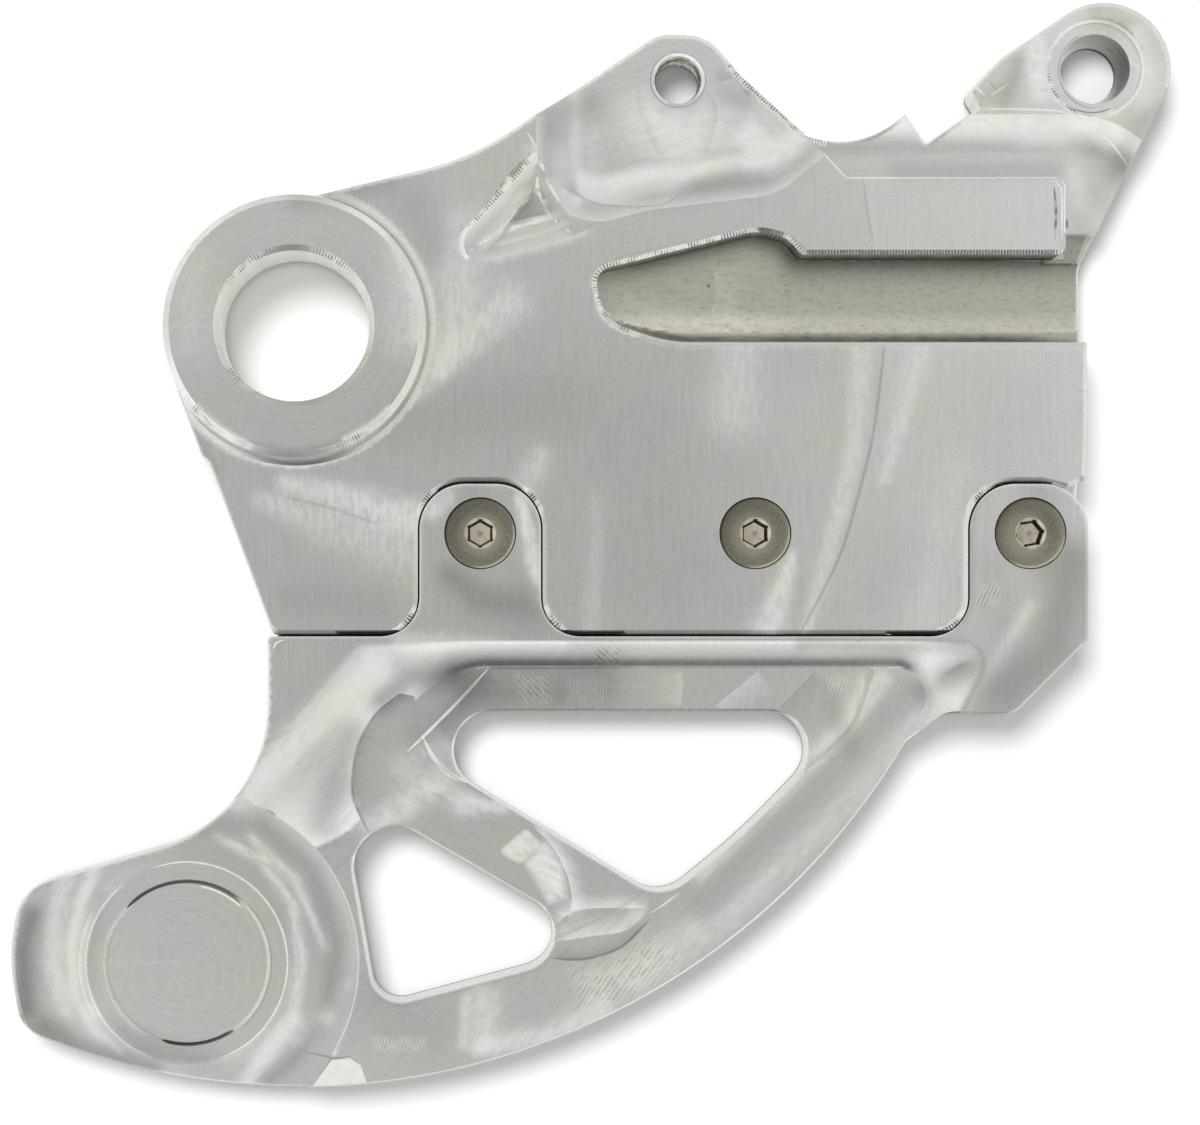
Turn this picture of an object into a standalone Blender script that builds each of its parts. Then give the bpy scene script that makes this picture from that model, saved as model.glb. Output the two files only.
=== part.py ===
"""Rear brake disc guard: a milled caliper carrier with a bolt-on fin that covers the disc.

The part lies on its flat back with its milled face up. Plan sizes are millimetres from the
axle's axis, +X towards the caliper pin and +Y towards the caliper, and heights are millimetres
above the back. Objects are built in metres.
"""

import math

import bmesh
import bpy

MM = 0.001

# Driving sizes in millimetres

FIT = 0.3
EDGE_BREAK = 0.5
SAGITTA = 0.03
PAST = 2.0
CLEAR = 60.0

PLATE_THICKNESS = 12.0
EAR_THICKNESS = 9.0
EAR_ROLL = 10.0
LUG_THICKNESS = 8.5
CHANNEL_FLOOR = 7.0
CHANNEL_TOP_Y = 29.8
CHANNEL_END_X = 143.0
CHANNEL_ROLL = 16.0

AXLE_BORE = 25.2
AXLE_BORE_CHAMFER = 0.9
BOSS_DIAMETER = 44.0
BOSS_RISE = 4.0
BOSS_CHAMFER = 1.1
BOSS_FOOT = 1.5

EAR_HOLE_AT = (64.6, 42.3)
EAR_HOLE = 7.4
EAR_HOLE_CHAMFER = 1.0

PIN_BORE_AT = (135.3, 44.3)
PIN_BORE = 11.8
PIN_LIP_BORE = 9.7
PIN_LIP_THICKNESS = 1.5
PIN_SPOTFACE = 15.6
PIN_SPOTFACE_DEPTH = 0.6

LUG_CENTRE = (136.7, 44.1)
LUG_RADIUS = 11.3

SCOOP_CENTRE = (92.0, 48.1)
SCOOP_RADIUS = 15.95

RAIL_TOP_Y = 25.4
RAIL_BOTTOM_Y = 12.4
RAIL_END_GAP = 3.8
RAIL_CORNER = 1.7
SHELF_Y = 16.3
GROOVE_FLOOR = 5.0
GROOVE_BOTTOM_Y = -2.4
GROOVE_FILLET = 2.4
GROOVE_FILLET_STEPS = 4

SEAM_Y = -51.7
SCREW_Y = -34.5
LEFT_SCREW_X = 31.1
SCREW_PITCH = 46.25

TAB_THICKNESS = 6.0
TAB_HALF_WIDTH = 10.2
TAB_TOP_REACH = 8.3
TAB_TOP_CORNER = 7.6
TAB_ROOT_FILLET = 6.6
POCKET_CHAMFER = 0.8
POCKET_DIP = 1.1
POCKET_DIP_WIDTH = 2.2
POCKET_MOUTH = 0.2
RIGHT_MARGIN = 9.7

STRIP_Y = -52.4
STRIP_FOOT_Y = -57.2

TONGUE_THICKNESS = 5.7
TONGUE_WIDTH = 34.6
TONGUE_REACH = 8.0
TONGUE_CORNER = 4.0

EDGE_CENTRE = (0.3, -8.5)
EDGE_RADIUS = 119.5
RIM_INNER_RADIUS = 113.3
RIM_THICKNESS = 9.5
BAR_THICKNESS = 8.5
WEB_THICKNESS = 8.0
SHOULDER_TILT = 65.0

PAD_CENTRE = (-18.5, -107.1)
PAD_DISC_RADIUS = 17.0
PAD_RADIUS = 29.0
PAD_EDGE_ROLL = 1.5
PAD_EDGE_RISE = 0.6
PAD_THICKNESS = 8.0
PAD_SWALE_DEPTH = 1.2

SCREW_THREAD = 6.0
SCREW_HEAD = 11.9
SCREW_HEAD_LAND = 0.3
SCREW_LENGTH = 10.0
SCREW_SUNK = 0.1
SCREW_END_CHAMFER = 0.7
SOCKET_ACROSS_FLATS = 4.0
SOCKET_DEPTH = 2.3
SOCKET_POINT = 0.7
SOCKET_TIP = 0.05

ALUMINIUM = (0.52, 0.53, 0.52)
ALUMINIUM_GUARD = (0.55, 0.56, 0.55)
STAINLESS = (0.30, 0.28, 0.24)


# Plan outlines

def arc_steps(radius, sweep):
    """Straight steps that keep an arc within the sagitta of its true curve."""
    step = 2.0 * math.acos(1.0 - min(SAGITTA / radius, 0.5))
    return max(2, math.ceil(abs(sweep) / step))


def arc(centre, radius, start, end):
    """Sharp corners along an arc, from one angle to another in degrees."""
    start, end = math.radians(start), math.radians(end)
    steps = arc_steps(radius, end - start)
    turns = [start + (end - start) * i / steps for i in range(steps + 1)]
    return [
        (centre[0] + radius * math.cos(turn), centre[1] + radius * math.sin(turn), 0.0)
        for turn in turns
    ]


def rounded(before, corner, after, steps):
    """The points that replace one corner by an arc tangent to both of its sides."""
    x, y, radius = corner
    if radius == 0.0:
        return [(x, y)]
    to_before = (before[0] - x, before[1] - y)
    to_after = (after[0] - x, after[1] - y)
    ahead = math.atan2(to_before[1], to_before[0])
    behind = math.atan2(to_after[1], to_after[0])
    opening = (behind - ahead + math.pi) % (2.0 * math.pi) - math.pi
    middle = ahead + opening / 2.0
    half = abs(opening) / 2.0
    reach = radius / math.sin(half)
    centre = (x + reach * math.cos(middle), y + reach * math.sin(middle))
    sweep = math.copysign(math.pi - 2.0 * half, opening)
    start = middle + math.pi + sweep / 2.0
    count = steps or arc_steps(radius, sweep)
    return [
        (
            centre[0] + radius * math.cos(start - sweep * i / count),
            centre[1] + radius * math.sin(start - sweep * i / count),
        )
        for i in range(count + 1)
    ]


def outline(corners, steps=None):
    """A closed counter-clockwise ring through corners given as (x, y, radius)."""
    ring = []
    for i, corner in enumerate(corners):
        ring += rounded(corners[i - 1], corner, corners[(i + 1) % len(corners)], steps)
    area = sum(
        a[0] * b[1] - b[0] * a[1] for a, b in zip(ring, ring[1:] + ring[:1])
    )
    return ring if area > 0.0 else ring[::-1]


def grown(ring, distance):
    """The ring moved outwards along its mitred normals."""
    moved = []
    for i, (x, y) in enumerate(ring):
        x0, y0 = ring[i - 1]
        x1, y1 = ring[(i + 1) % len(ring)]
        into = math.atan2(y - y0, x - x0)
        out = math.atan2(y1 - y, x1 - x)
        turn = (out - into + math.pi) % (2.0 * math.pi) - math.pi
        normal = into + turn / 2.0 - math.pi / 2.0
        reach = distance / math.cos(turn / 2.0)
        moved.append((x + reach * math.cos(normal), y + reach * math.sin(normal)))
    return moved


def circle(centre, radius, steps):
    """A ring round a centre."""
    return [
        (
            centre[0] + radius * math.cos(2.0 * math.pi * i / steps),
            centre[1] + radius * math.sin(2.0 * math.pi * i / steps),
        )
        for i in range(steps)
    ]


def mirrored(corners, x):
    """The corners reflected across a line of constant x, in reverse order."""
    return [(2.0 * x - cx, cy, radius) for cx, cy, radius in reversed(corners)]


# Solids

def keep_mesh(name, mesh_data):
    """An object from a bmesh, with its normals outwards and its round walls smooth."""
    bmesh.ops.recalc_face_normals(mesh_data, faces=mesh_data.faces)
    mesh = bpy.data.meshes.new(name)
    mesh_data.to_mesh(mesh)
    mesh_data.free()
    mesh.shade_smooth()
    mesh.set_sharp_from_angle(angle=math.radians(25.0))
    made = bpy.data.objects.new(name, mesh)
    bpy.context.collection.objects.link(made)
    return made


def loft(name, levels):
    """A closed solid through rings of equal length, each given with its height."""
    mesh_data = bmesh.new()
    rings = [
        [mesh_data.verts.new((x * MM, y * MM, height * MM)) for x, y in ring]
        for ring, height in levels
    ]
    for lower, upper in zip(rings, rings[1:]):
        for i in range(len(lower)):
            j = (i + 1) % len(lower)
            mesh_data.faces.new((lower[i], lower[j], upper[j], upper[i]))
    mesh_data.faces.new(rings[0][::-1])
    mesh_data.faces.new(rings[-1])
    return keep_mesh(name, mesh_data)


def slab(name, ring, bottom, top, edge_break=0.0):
    """A plate with the ring's outline, its two rims chamfered by the edge break."""
    if edge_break == 0.0:
        return loft(name, [(ring, bottom), (ring, top)])
    inner = grown(ring, -edge_break)
    return loft(
        name,
        [
            (inner, bottom),
            (ring, bottom + edge_break),
            (ring, top - edge_break),
            (inner, top),
        ],
    )


def turned(name, centre, profile):
    """A solid of revolution through (radius, height) pairs, closed over its first and last."""
    widest = max(radius for radius, height in profile)
    steps = arc_steps(widest, 2.0 * math.pi)
    return loft(
        name, [(circle(centre, radius, steps), height) for radius, height in profile]
    )


def turned_band(name, centre, profile):
    """A closed ring of revolution through (radius, height) pairs that never reach the axis."""
    steps = arc_steps(max(radius for radius, height in profile), 2.0 * math.pi)
    mesh_data = bmesh.new()
    rings = []
    for i in range(steps):
        turn = 2.0 * math.pi * i / steps
        rings.append(
            [
                mesh_data.verts.new(
                    (
                        (centre[0] + radius * math.cos(turn)) * MM,
                        (centre[1] + radius * math.sin(turn)) * MM,
                        height * MM,
                    )
                )
                for radius, height in profile
            ]
        )
    for i, ring in enumerate(rings):
        following = rings[(i + 1) % steps]
        for j in range(len(ring)):
            k = (j + 1) % len(ring)
            mesh_data.faces.new((ring[j], following[j], following[k], ring[k]))
    return keep_mesh(name, mesh_data)


def cove(ring, floor, top, radius, steps):
    """Levels of a cutter whose floor rolls up into its wall through a concave fillet."""
    steepest = math.acos(max(0.0, 1.0 - (top - floor) / radius))
    levels = []
    for i in range(steps + 1):
        tilt = steepest * i / steps
        rise = radius * (1.0 - math.cos(tilt))
        levels.append((grown(ring, radius * math.sin(tilt)), floor + rise))
    levels.append((levels[-1][0], top + PAST))
    return levels


def shoulder(floor_ring, top_ring, floor, top, steps):
    """Levels of a cutter that leaves a wall rolling over from a flat top down to its floor."""
    steepest = math.radians(SHOULDER_TILT)
    levels = []
    for i in range(steps, -1, -1):
        tilt = steepest * i / steps
        across = math.sin(tilt) / math.sin(steepest)
        down = (1.0 - math.cos(tilt)) / (1.0 - math.cos(steepest))
        ring = [
            (x1 + (x0 - x1) * across, y1 + (y0 - y1) * across)
            for (x0, y0), (x1, y1) in zip(floor_ring, top_ring)
        ]
        levels.append((ring, top + (floor - top) * down))
    levels.append((top_ring, top + PAST))
    return levels


def combine(target, tool, operation):
    """A Boolean of the target with a hidden tool."""
    tool.hide_render = True
    tool.display_type = "WIRE"
    step = target.modifiers.new(tool.name, "BOOLEAN")
    step.solver = "EXACT"
    step.operation = operation
    step.object = tool


def cut(target, tool):
    combine(target, tool, "DIFFERENCE")


def join(target, tool):
    combine(target, tool, "UNION")


def common(target, tool):
    combine(target, tool, "INTERSECT")


# Shapes that the carrier and the guard share

SCREW_XS = [LEFT_SCREW_X + SCREW_PITCH * i for i in range(3)]
RIGHT_EDGE_X = SCREW_XS[-1] + RIGHT_MARGIN
RAIL_END_X = RIGHT_EDGE_X - RAIL_END_GAP
CARRIER_SEAM_Y = SEAM_Y + FIT / 2.0
GUARD_SEAM_Y = SEAM_Y - FIT / 2.0
TAB_FLOOR = PLATE_THICKNESS - TAB_THICKNESS
TAB_TOP_Y = SCREW_Y + TAB_TOP_REACH
TONGUE_TOP_Y = SCREW_Y + TONGUE_REACH


def tab_side(screw_x, root_y):
    """The corners up the left side of a tab, from the seam to the tab's top."""
    side_x = screw_x - TAB_HALF_WIDTH
    return [
        (side_x, root_y, TAB_ROOT_FILLET),
        (side_x, TAB_TOP_Y, TAB_TOP_CORNER),
    ]


def screw_clearance(name, x, bottom):
    """A cutter for a countersunk hole that clears a screw by the fit all round."""
    hole = SCREW_THREAD / 2.0 + FIT
    head = SCREW_HEAD / 2.0 + FIT
    land = PLATE_THICKNESS - SCREW_SUNK - SCREW_HEAD_LAND
    return turned(
        name,
        (x, SCREW_Y),
        [
            (hole, bottom),
            (hole, land - (head - hole)),
            (head, land),
            (head, PLATE_THICKNESS + PAST),
        ],
    )


# Caliper carrier

EAR_LEDGE_START = (85.9, 32.7)
EAR_LEDGE_END = (92.7, RAIL_TOP_Y)


def carrier_ring():
    """The carrier's outline, with its corners inside the boss left sharp."""
    return outline(
        [
            (-20.3, -9.0, 0.0),
            (0.0, 21.4, 0.0),
            (29.6, 28.6, 45.0),
            (61.2, 49.9, 5.0),
            (69.3, 49.8, 7.5),
            (74.9, 43.3, 8.0),
            *arc(SCOOP_CENTRE, SCOOP_RADIUS, -114.0, -46.0),
            (106.8, 31.7, 0.6),
            (115.7, 37.7, 0.6),
            (114.0, 40.4, 1.2),
            (119.3, 46.0, 2.0),
            *arc(LUG_CENTRE, LUG_RADIUS, 124.0, -26.0),
            (RIGHT_EDGE_X - 0.3, 10.9, 6.0),
            (RIGHT_EDGE_X - 0.2, -17.0, 90.0),
            (RIGHT_EDGE_X - 0.7, -29.5, 0.8),
            (RIGHT_EDGE_X, -31.0, 0.8),
            (RIGHT_EDGE_X, CARRIER_SEAM_Y, 0.8),
            (-3.6, CARRIER_SEAM_Y, 1.0),
            (-14.3, -22.8, 1.5),
            (-15.6, -21.6, 1.5),
        ]
    )


def boss():
    """The axle boss, proud of the plate, with its rims chamfered."""
    radius = BOSS_DIAMETER / 2.0
    top = PLATE_THICKNESS + BOSS_RISE
    return turned(
        "boss",
        (0.0, 0.0),
        [
            (radius - EDGE_BREAK, 0.0),
            (radius, EDGE_BREAK),
            (radius, top - BOSS_CHAMFER),
            (radius - BOSS_CHAMFER, top),
        ],
    )


def boss_foot(plate_ring):
    """The fillet round the boss, only where the plate carries it."""
    radius = BOSS_DIAMETER / 2.0
    profile = [
        (radius - 2.0 * BOSS_FOOT, PLATE_THICKNESS - BOSS_FOOT),
        (radius + BOSS_FOOT, PLATE_THICKNESS - BOSS_FOOT),
    ]
    for i in range(5):
        turn = math.radians(90.0 * i / 4)
        profile.append(
            (
                radius + BOSS_FOOT * (1.0 - math.sin(turn)),
                PLATE_THICKNESS + BOSS_FOOT * (1.0 - math.cos(turn)),
            )
        )
    profile.append((radius - 2.0 * BOSS_FOOT, PLATE_THICKNESS + BOSS_FOOT))
    foot = turned_band("boss_foot", (0.0, 0.0), profile)
    inside = grown(plate_ring, -EDGE_BREAK)
    common(foot, slab("boss_foot_bounds", inside, 0.0, PLATE_THICKNESS + BOSS_RISE))
    return foot


def axle_bore():
    """The through bore for the axle, chamfered at both faces."""
    radius = AXLE_BORE / 2.0
    wide = radius + AXLE_BORE_CHAMFER
    top = PLATE_THICKNESS + BOSS_RISE
    return turned(
        "axle_bore",
        (0.0, 0.0),
        [
            (wide, -PAST),
            (wide, 0.0),
            (radius, AXLE_BORE_CHAMFER),
            (radius, top - AXLE_BORE_CHAMFER),
            (wide, top),
            (wide, top + PAST),
        ],
    )


def ear_hole():
    """The tapped hole in the ear, chamfered at the ear's face."""
    radius = EAR_HOLE / 2.0
    wide = radius + EAR_HOLE_CHAMFER
    return turned(
        "ear_hole",
        EAR_HOLE_AT,
        [
            (radius, -PAST),
            (radius, EAR_THICKNESS - EAR_HOLE_CHAMFER),
            (wide, EAR_THICKNESS),
            (wide, PLATE_THICKNESS + PAST),
        ],
    )


def pin_bore():
    """The caliper pin's bore: a shallow spotface, the bore and a lip at the back."""
    return turned(
        "pin_bore",
        PIN_BORE_AT,
        [
            (PIN_LIP_BORE / 2.0, -PAST),
            (PIN_LIP_BORE / 2.0, PIN_LIP_THICKNESS),
            (PIN_BORE / 2.0, PIN_LIP_THICKNESS),
            (PIN_BORE / 2.0, LUG_THICKNESS - PIN_SPOTFACE_DEPTH),
            (PIN_SPOTFACE / 2.0, LUG_THICKNESS - PIN_SPOTFACE_DEPTH),
            (PIN_SPOTFACE / 2.0, PLATE_THICKNESS + PAST),
        ],
    )


def ear_relief():
    """The scooped relief that thins the plate at the ear and rolls up to its face."""
    floor_ring = outline(
        [
            (47.6, 24.0, 3.3),
            (58.0, 26.8, 12.0),
            (78.0, 29.2, 3.0),
            (84.0, 34.0, 3.0),
            (96.0, 64.0, 0.0),
            (47.6, 64.0, 0.0),
        ]
    )
    levels = cove(floor_ring, EAR_THICKNESS, PLATE_THICKNESS, EAR_ROLL, 6)
    return loft("ear_relief", levels)


def ear_pocket():
    """The three-sided pocket beside the ear, with sloping walls and a chamfered rim."""
    floor_ring = outline(
        [(33.2, 14.8, 0.5), (40.3, 23.6, 0.5), (43.0, 19.3, 0.5)], steps=4
    )
    rim = outline([(27.4, 11.6, 2.0), (40.9, 29.6, 1.2), (47.4, 16.0, 1.2)], steps=4)
    wide = grown(rim, EDGE_BREAK)
    return loft(
        "ear_pocket",
        [
            (floor_ring, EAR_THICKNESS - 0.5),
            (rim, PLATE_THICKNESS - EDGE_BREAK),
            (wide, PLATE_THICKNESS),
            (wide, PLATE_THICKNESS + PAST),
        ],
    )


def step_ring():
    """The foot of the rail: from the ear's ledge along the rail and round its end."""
    return outline(
        [
            (*EAR_LEDGE_START, 0.0),
            (*EAR_LEDGE_END, 0.0),
            (RAIL_END_X, RAIL_TOP_Y, RAIL_CORNER),
            (RAIL_END_X, SHELF_Y, 0.0),
            (RAIL_END_X + CLEAR, SHELF_Y, 0.0),
            (RAIL_END_X + CLEAR, SHELF_Y + CLEAR, 0.0),
            (EAR_LEDGE_START[0], SHELF_Y + CLEAR, 0.0),
        ]
    )


def lug_relief():
    """The step down from the rail to the lug."""
    return slab("lug_relief", step_ring(), LUG_THICKNESS, PLATE_THICKNESS + PAST)


def channel():
    """The channel along the rail, flat beside it and rolling up to the lug."""
    start_x = EAR_LEDGE_START[0] - CHANNEL_ROLL
    end_x = RAIL_END_X - CHANNEL_ROLL / 2.0
    floor_ring = outline(
        [
            (start_x, RAIL_TOP_Y - CHANNEL_ROLL, 0.0),
            (end_x, RAIL_TOP_Y - CHANNEL_ROLL, 0.0),
            (end_x, SHELF_Y - CHANNEL_ROLL, 0.0),
            (CHANNEL_END_X, SHELF_Y - CHANNEL_ROLL, 0.0),
            (CHANNEL_END_X, CHANNEL_TOP_Y, 12.0),
            (start_x, CHANNEL_TOP_Y, 0.0),
        ]
    )
    cutter = loft(
        "channel", cove(floor_ring, CHANNEL_FLOOR, LUG_THICKNESS, CHANNEL_ROLL, 5)
    )
    bounds = slab("channel_bounds", step_ring(), 0.0, LUG_THICKNESS + PAST / 2.0)
    common(cutter, bounds)
    return cutter


def groove():
    """The slot that rides on the swingarm's key, open at the carrier's right edge."""
    rim = outline(
        [
            (50.3, 9.6, 2.6),
            (78.0, 16.5, 9.0),
            (82.6, 15.2, 3.0),
            (85.1, RAIL_BOTTOM_Y, 1.0),
            (RAIL_END_X + CLEAR, RAIL_BOTTOM_Y, 0.0),
            (RAIL_END_X + CLEAR, GROOVE_BOTTOM_Y, 0.0),
            (62.5, GROOVE_BOTTOM_Y, 24.0),
            (51.8, 1.4, 7.0),
        ]
    )
    levels = []
    for i in range(GROOVE_FILLET_STEPS + 1):
        tilt = math.radians(90.0 * i / GROOVE_FILLET_STEPS)
        inset = GROOVE_FILLET * (1.0 - math.sin(tilt))
        rise = GROOVE_FILLET * (1.0 - math.cos(tilt))
        levels.append((grown(rim, -inset), GROOVE_FLOOR + rise))
    levels.append((rim, PLATE_THICKNESS - EDGE_BREAK))
    levels.append((grown(rim, EDGE_BREAK), PLATE_THICKNESS))
    levels.append((grown(rim, EDGE_BREAK), PLATE_THICKNESS + PAST))
    return loft("groove", levels)


def groove_end():
    """The groove's widening past the rail's rounded end."""
    under = RAIL_BOTTOM_Y - EDGE_BREAK / 2.0
    start_x = RAIL_END_X - RAIL_CORNER - EDGE_BREAK
    lowest_y = RAIL_BOTTOM_Y - GROOVE_FILLET
    end_x = RAIL_END_X + CLEAR
    ring = outline(
        [
            (start_x, lowest_y, 0.0),
            (start_x, under, 0.0),
            (RAIL_END_X, under, RAIL_CORNER),
            (RAIL_END_X, SHELF_Y, 0.0),
            (end_x, SHELF_Y, 0.0),
            (end_x, lowest_y, 0.0),
        ]
    )
    return slab("groove_end", ring, GROOVE_FLOOR, PLATE_THICKNESS + PAST)


def tab_pockets():
    """Pockets in the carrier's face that take the guard's tabs, with chamfered rims."""
    below = SEAM_Y - TAB_ROOT_FILLET
    root = SEAM_Y - FIT
    left, right = SCREW_XS[0], SCREW_XS[-1]
    reach = TAB_HALF_WIDTH + 2.0 * TAB_ROOT_FILLET
    mouth_x = RIGHT_EDGE_X - 1.2
    left_rim = outline(
        [
            (left - reach, below, 0.0),
            (left - reach, root, 0.0),
            *tab_side(left, root),
            *mirrored(tab_side(left, root), left),
            (left + reach, root, 0.0),
            (left + reach, below, 0.0),
        ]
    )
    right_rim = outline(
        [
            (right - reach, below, 0.0),
            (right - reach, root, 0.0),
            *tab_side(right, root),
            (RIGHT_EDGE_X - TAB_TOP_CORNER, TAB_TOP_Y, 5.0),
            (mouth_x - POCKET_DIP_WIDTH, TAB_TOP_Y - POCKET_DIP, 1.6),
            (mouth_x, TAB_TOP_Y + POCKET_MOUTH, 0.6),
            (RIGHT_EDGE_X + PAST, TAB_TOP_Y + POCKET_MOUTH, 0.0),
            (RIGHT_EDGE_X + PAST, below, 0.0),
        ]
    )
    pockets = []
    for name, ring in (("left_pocket", left_rim), ("right_pocket", right_rim)):
        wall = grown(ring, FIT)
        rim = grown(wall, POCKET_CHAMFER)
        pockets.append(
            loft(
                name,
                [
                    (wall, TAB_FLOOR - FIT),
                    (wall, PLATE_THICKNESS - POCKET_CHAMFER),
                    (rim, PLATE_THICKNESS),
                    (rim, PLATE_THICKNESS + PAST),
                ],
            )
        )
    return pockets


def tongue_ring(clearance):
    """The tongue's outline, from well inside the guard to its end behind the carrier."""
    half = TONGUE_WIDTH / 2.0 + clearance
    top = TONGUE_TOP_Y + clearance
    centre = SCREW_XS[1]
    return outline(
        [
            (centre - half, SEAM_Y - 6.0, 0.0),
            (centre + half, SEAM_Y - 6.0, 0.0),
            (centre + half, top, TONGUE_CORNER + clearance),
            (centre - half, top, TONGUE_CORNER + clearance),
        ]
    )


def carrier():
    """The caliper carrier, from the axle boss to the caliper's ear and pin lug."""
    plate_ring = carrier_ring()
    made = slab("carrier", plate_ring, 0.0, PLATE_THICKNESS, EDGE_BREAK)
    join(made, boss())
    join(made, boss_foot(plate_ring))
    cut(made, axle_bore())
    cut(made, lug_relief())
    cut(made, channel())
    cut(made, ear_relief())
    cut(made, ear_pocket())
    cut(made, groove())
    cut(made, groove_end())
    for pocket in tab_pockets():
        cut(made, pocket)
    tongue_space = slab(
        "tongue_space", tongue_ring(FIT), -PAST, TONGUE_THICKNESS + FIT
    )
    cut(made, tongue_space)
    for i, x in enumerate(SCREW_XS):
        cut(made, screw_clearance(f"carrier_screw_hole_{i + 1}", x, -PAST))
    cut(made, ear_hole())
    cut(made, pin_bore())
    return made


# Disc guard

def guard_ring():
    """The guard's outline: the seam with its two tabs, then round the disc's edge."""
    left, right = SCREW_XS[0], SCREW_XS[-1]
    return outline(
        [
            (-4.65, GUARD_SEAM_Y, 0.9),
            *tab_side(left, GUARD_SEAM_Y),
            *mirrored(tab_side(left, GUARD_SEAM_Y), left),
            *tab_side(right, GUARD_SEAM_Y),
            (RIGHT_EDGE_X, TAB_TOP_Y, TAB_TOP_CORNER),
            (RIGHT_EDGE_X, -52.4, 1.0),
            (RIGHT_EDGE_X - 12.4, -64.8, 3.5),
            (RIGHT_EDGE_X - 23.7, -64.7, 5.0),
            *arc(EDGE_CENTRE, EDGE_RADIUS, -30.7, -111.0),
            (-46.7, -118.3, 6.0),
            (-48.7, -106.3, 30.0),
            (-46.9, -94.6, 8.0),
            (-4.65, -82.15, 25.5),
        ]
    )


def upper_window():
    """The window under the carrier, between the guard's strip, crossbar and rim."""
    return outline(
        [
            (9.4, -64.4, 6.7),
            (61.9, -96.3, 7.0),
            (75.6, -85.2, RIM_INNER_RADIUS),
            (95.6, -64.4, 6.7),
        ]
    )


def lower_window():
    """The window beside the end pad."""
    return outline(
        [
            (7.2, -77.4, 7.0),
            (53.3, -104.2, 6.2),
            (13.7, -114.8, 5.0),
        ]
    )


def under_tabs():
    """Cutters that leave each tab its own thickness above the carrier's ledge."""
    left, right = SCREW_XS[0], SCREW_XS[-1]
    reach = TAB_HALF_WIDTH + TAB_ROOT_FILLET + PAST
    spans = (
        ("under_left_tab", left - reach, left + reach),
        ("under_right_tab", right - reach, RIGHT_EDGE_X + PAST),
    )
    cutters = []
    for name, start, end in spans:
        ring = outline(
            [
                (start, GUARD_SEAM_Y, 0.0),
                (end, GUARD_SEAM_Y, 0.0),
                (end, TAB_TOP_Y + PAST, 0.0),
                (start, TAB_TOP_Y + PAST, 0.0),
            ]
        )
        cutters.append(slab(name, ring, -PAST, TAB_FLOOR))
    return cutters


def rim_relief():
    """The roll from the strip, the left arm and the right foot down to the rim."""
    top_ring = outline(
        [
            (-60.0, -79.8, 0.0),
            (-14.0, -79.8, 2.0),
            (9.9, STRIP_Y, 3.0),
            (RIGHT_EDGE_X - 13.8, STRIP_Y, 4.0),
            (RIGHT_EDGE_X - 22.3, -66.5, 0.0),
            (RIGHT_EDGE_X - 22.3, -140.0, 0.0),
            (-60.0, -140.0, 0.0),
        ],
        steps=5,
    )
    floor_ring = outline(
        [
            (-50.0, -96.0, 0.0),
            (11.6, -86.0, 16.0),
            (20.5, STRIP_FOOT_Y, 16.0),
            (RIGHT_EDGE_X - 24.3, STRIP_FOOT_Y, 5.0),
            (RIGHT_EDGE_X - 29.8, -70.0, 0.0),
            (RIGHT_EDGE_X - 29.8, -138.0, 0.0),
            (-50.0, -138.0, 0.0),
        ],
        steps=5,
    )
    return loft(
        "rim_relief", shoulder(floor_ring, top_ring, RIM_THICKNESS, PLATE_THICKNESS, 6)
    )


def bar_relief():
    """The pocket over the crossbar, from the left arm's foot to the rim."""
    floor_ring = outline(
        [
            (12.5, -90.0, 3.0),
            (11.6, -71.5, 14.0),
            (17.4, -63.0, 1.0),
            (22.0, -74.5, 6.0),
            (64.0, -86.0, 2.0),
            (66.0, -90.6, 2.0),
            (52.5, -99.4, 24.0),
            (38.5, -105.2, 2.0),
            (24.0, -100.0, 2.0),
        ]
    )
    return loft("bar_relief", cove(floor_ring, BAR_THICKNESS, RIM_THICKNESS, 3.0, 3))


def web_relief():
    """The pocket along the strip, over the top of the upper window."""
    floor_ring = outline(
        [
            (19.6, -71.2, 0.6),
            (33.0, STRIP_FOOT_Y + 0.4, 0.6),
            (98.0, STRIP_FOOT_Y + 0.4, 1.0),
            (94.5, -67.5, 10.0),
            (84.6, -75.8, 1.0),
            (60.0, -85.0, 1.0),
            (29.5, -77.5, 1.0),
        ]
    )
    return slab("web_relief", floor_ring, WEB_THICKNESS, PLATE_THICKNESS + PAST)


def pad_relief():
    """The lowered end of the guard, bounded by an arc round the pad's disc."""
    ring = outline(
        [
            *arc(PAD_CENTRE, PAD_RADIUS, -60.0, 75.0),
            (PAD_CENTRE[0] - CLEAR, PAD_CENTRE[1] + PAD_RADIUS, 0.0),
            (PAD_CENTRE[0] - CLEAR, PAD_CENTRE[1] - PAD_RADIUS, 0.0),
        ]
    )
    return loft(
        "pad_relief",
        [
            (grown(ring, -PAD_EDGE_ROLL), PAD_THICKNESS),
            (ring, PAD_THICKNESS + PAD_EDGE_RISE),
            (grown(ring, PAD_EDGE_RISE), PLATE_THICKNESS + PAST),
        ],
    )


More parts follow.
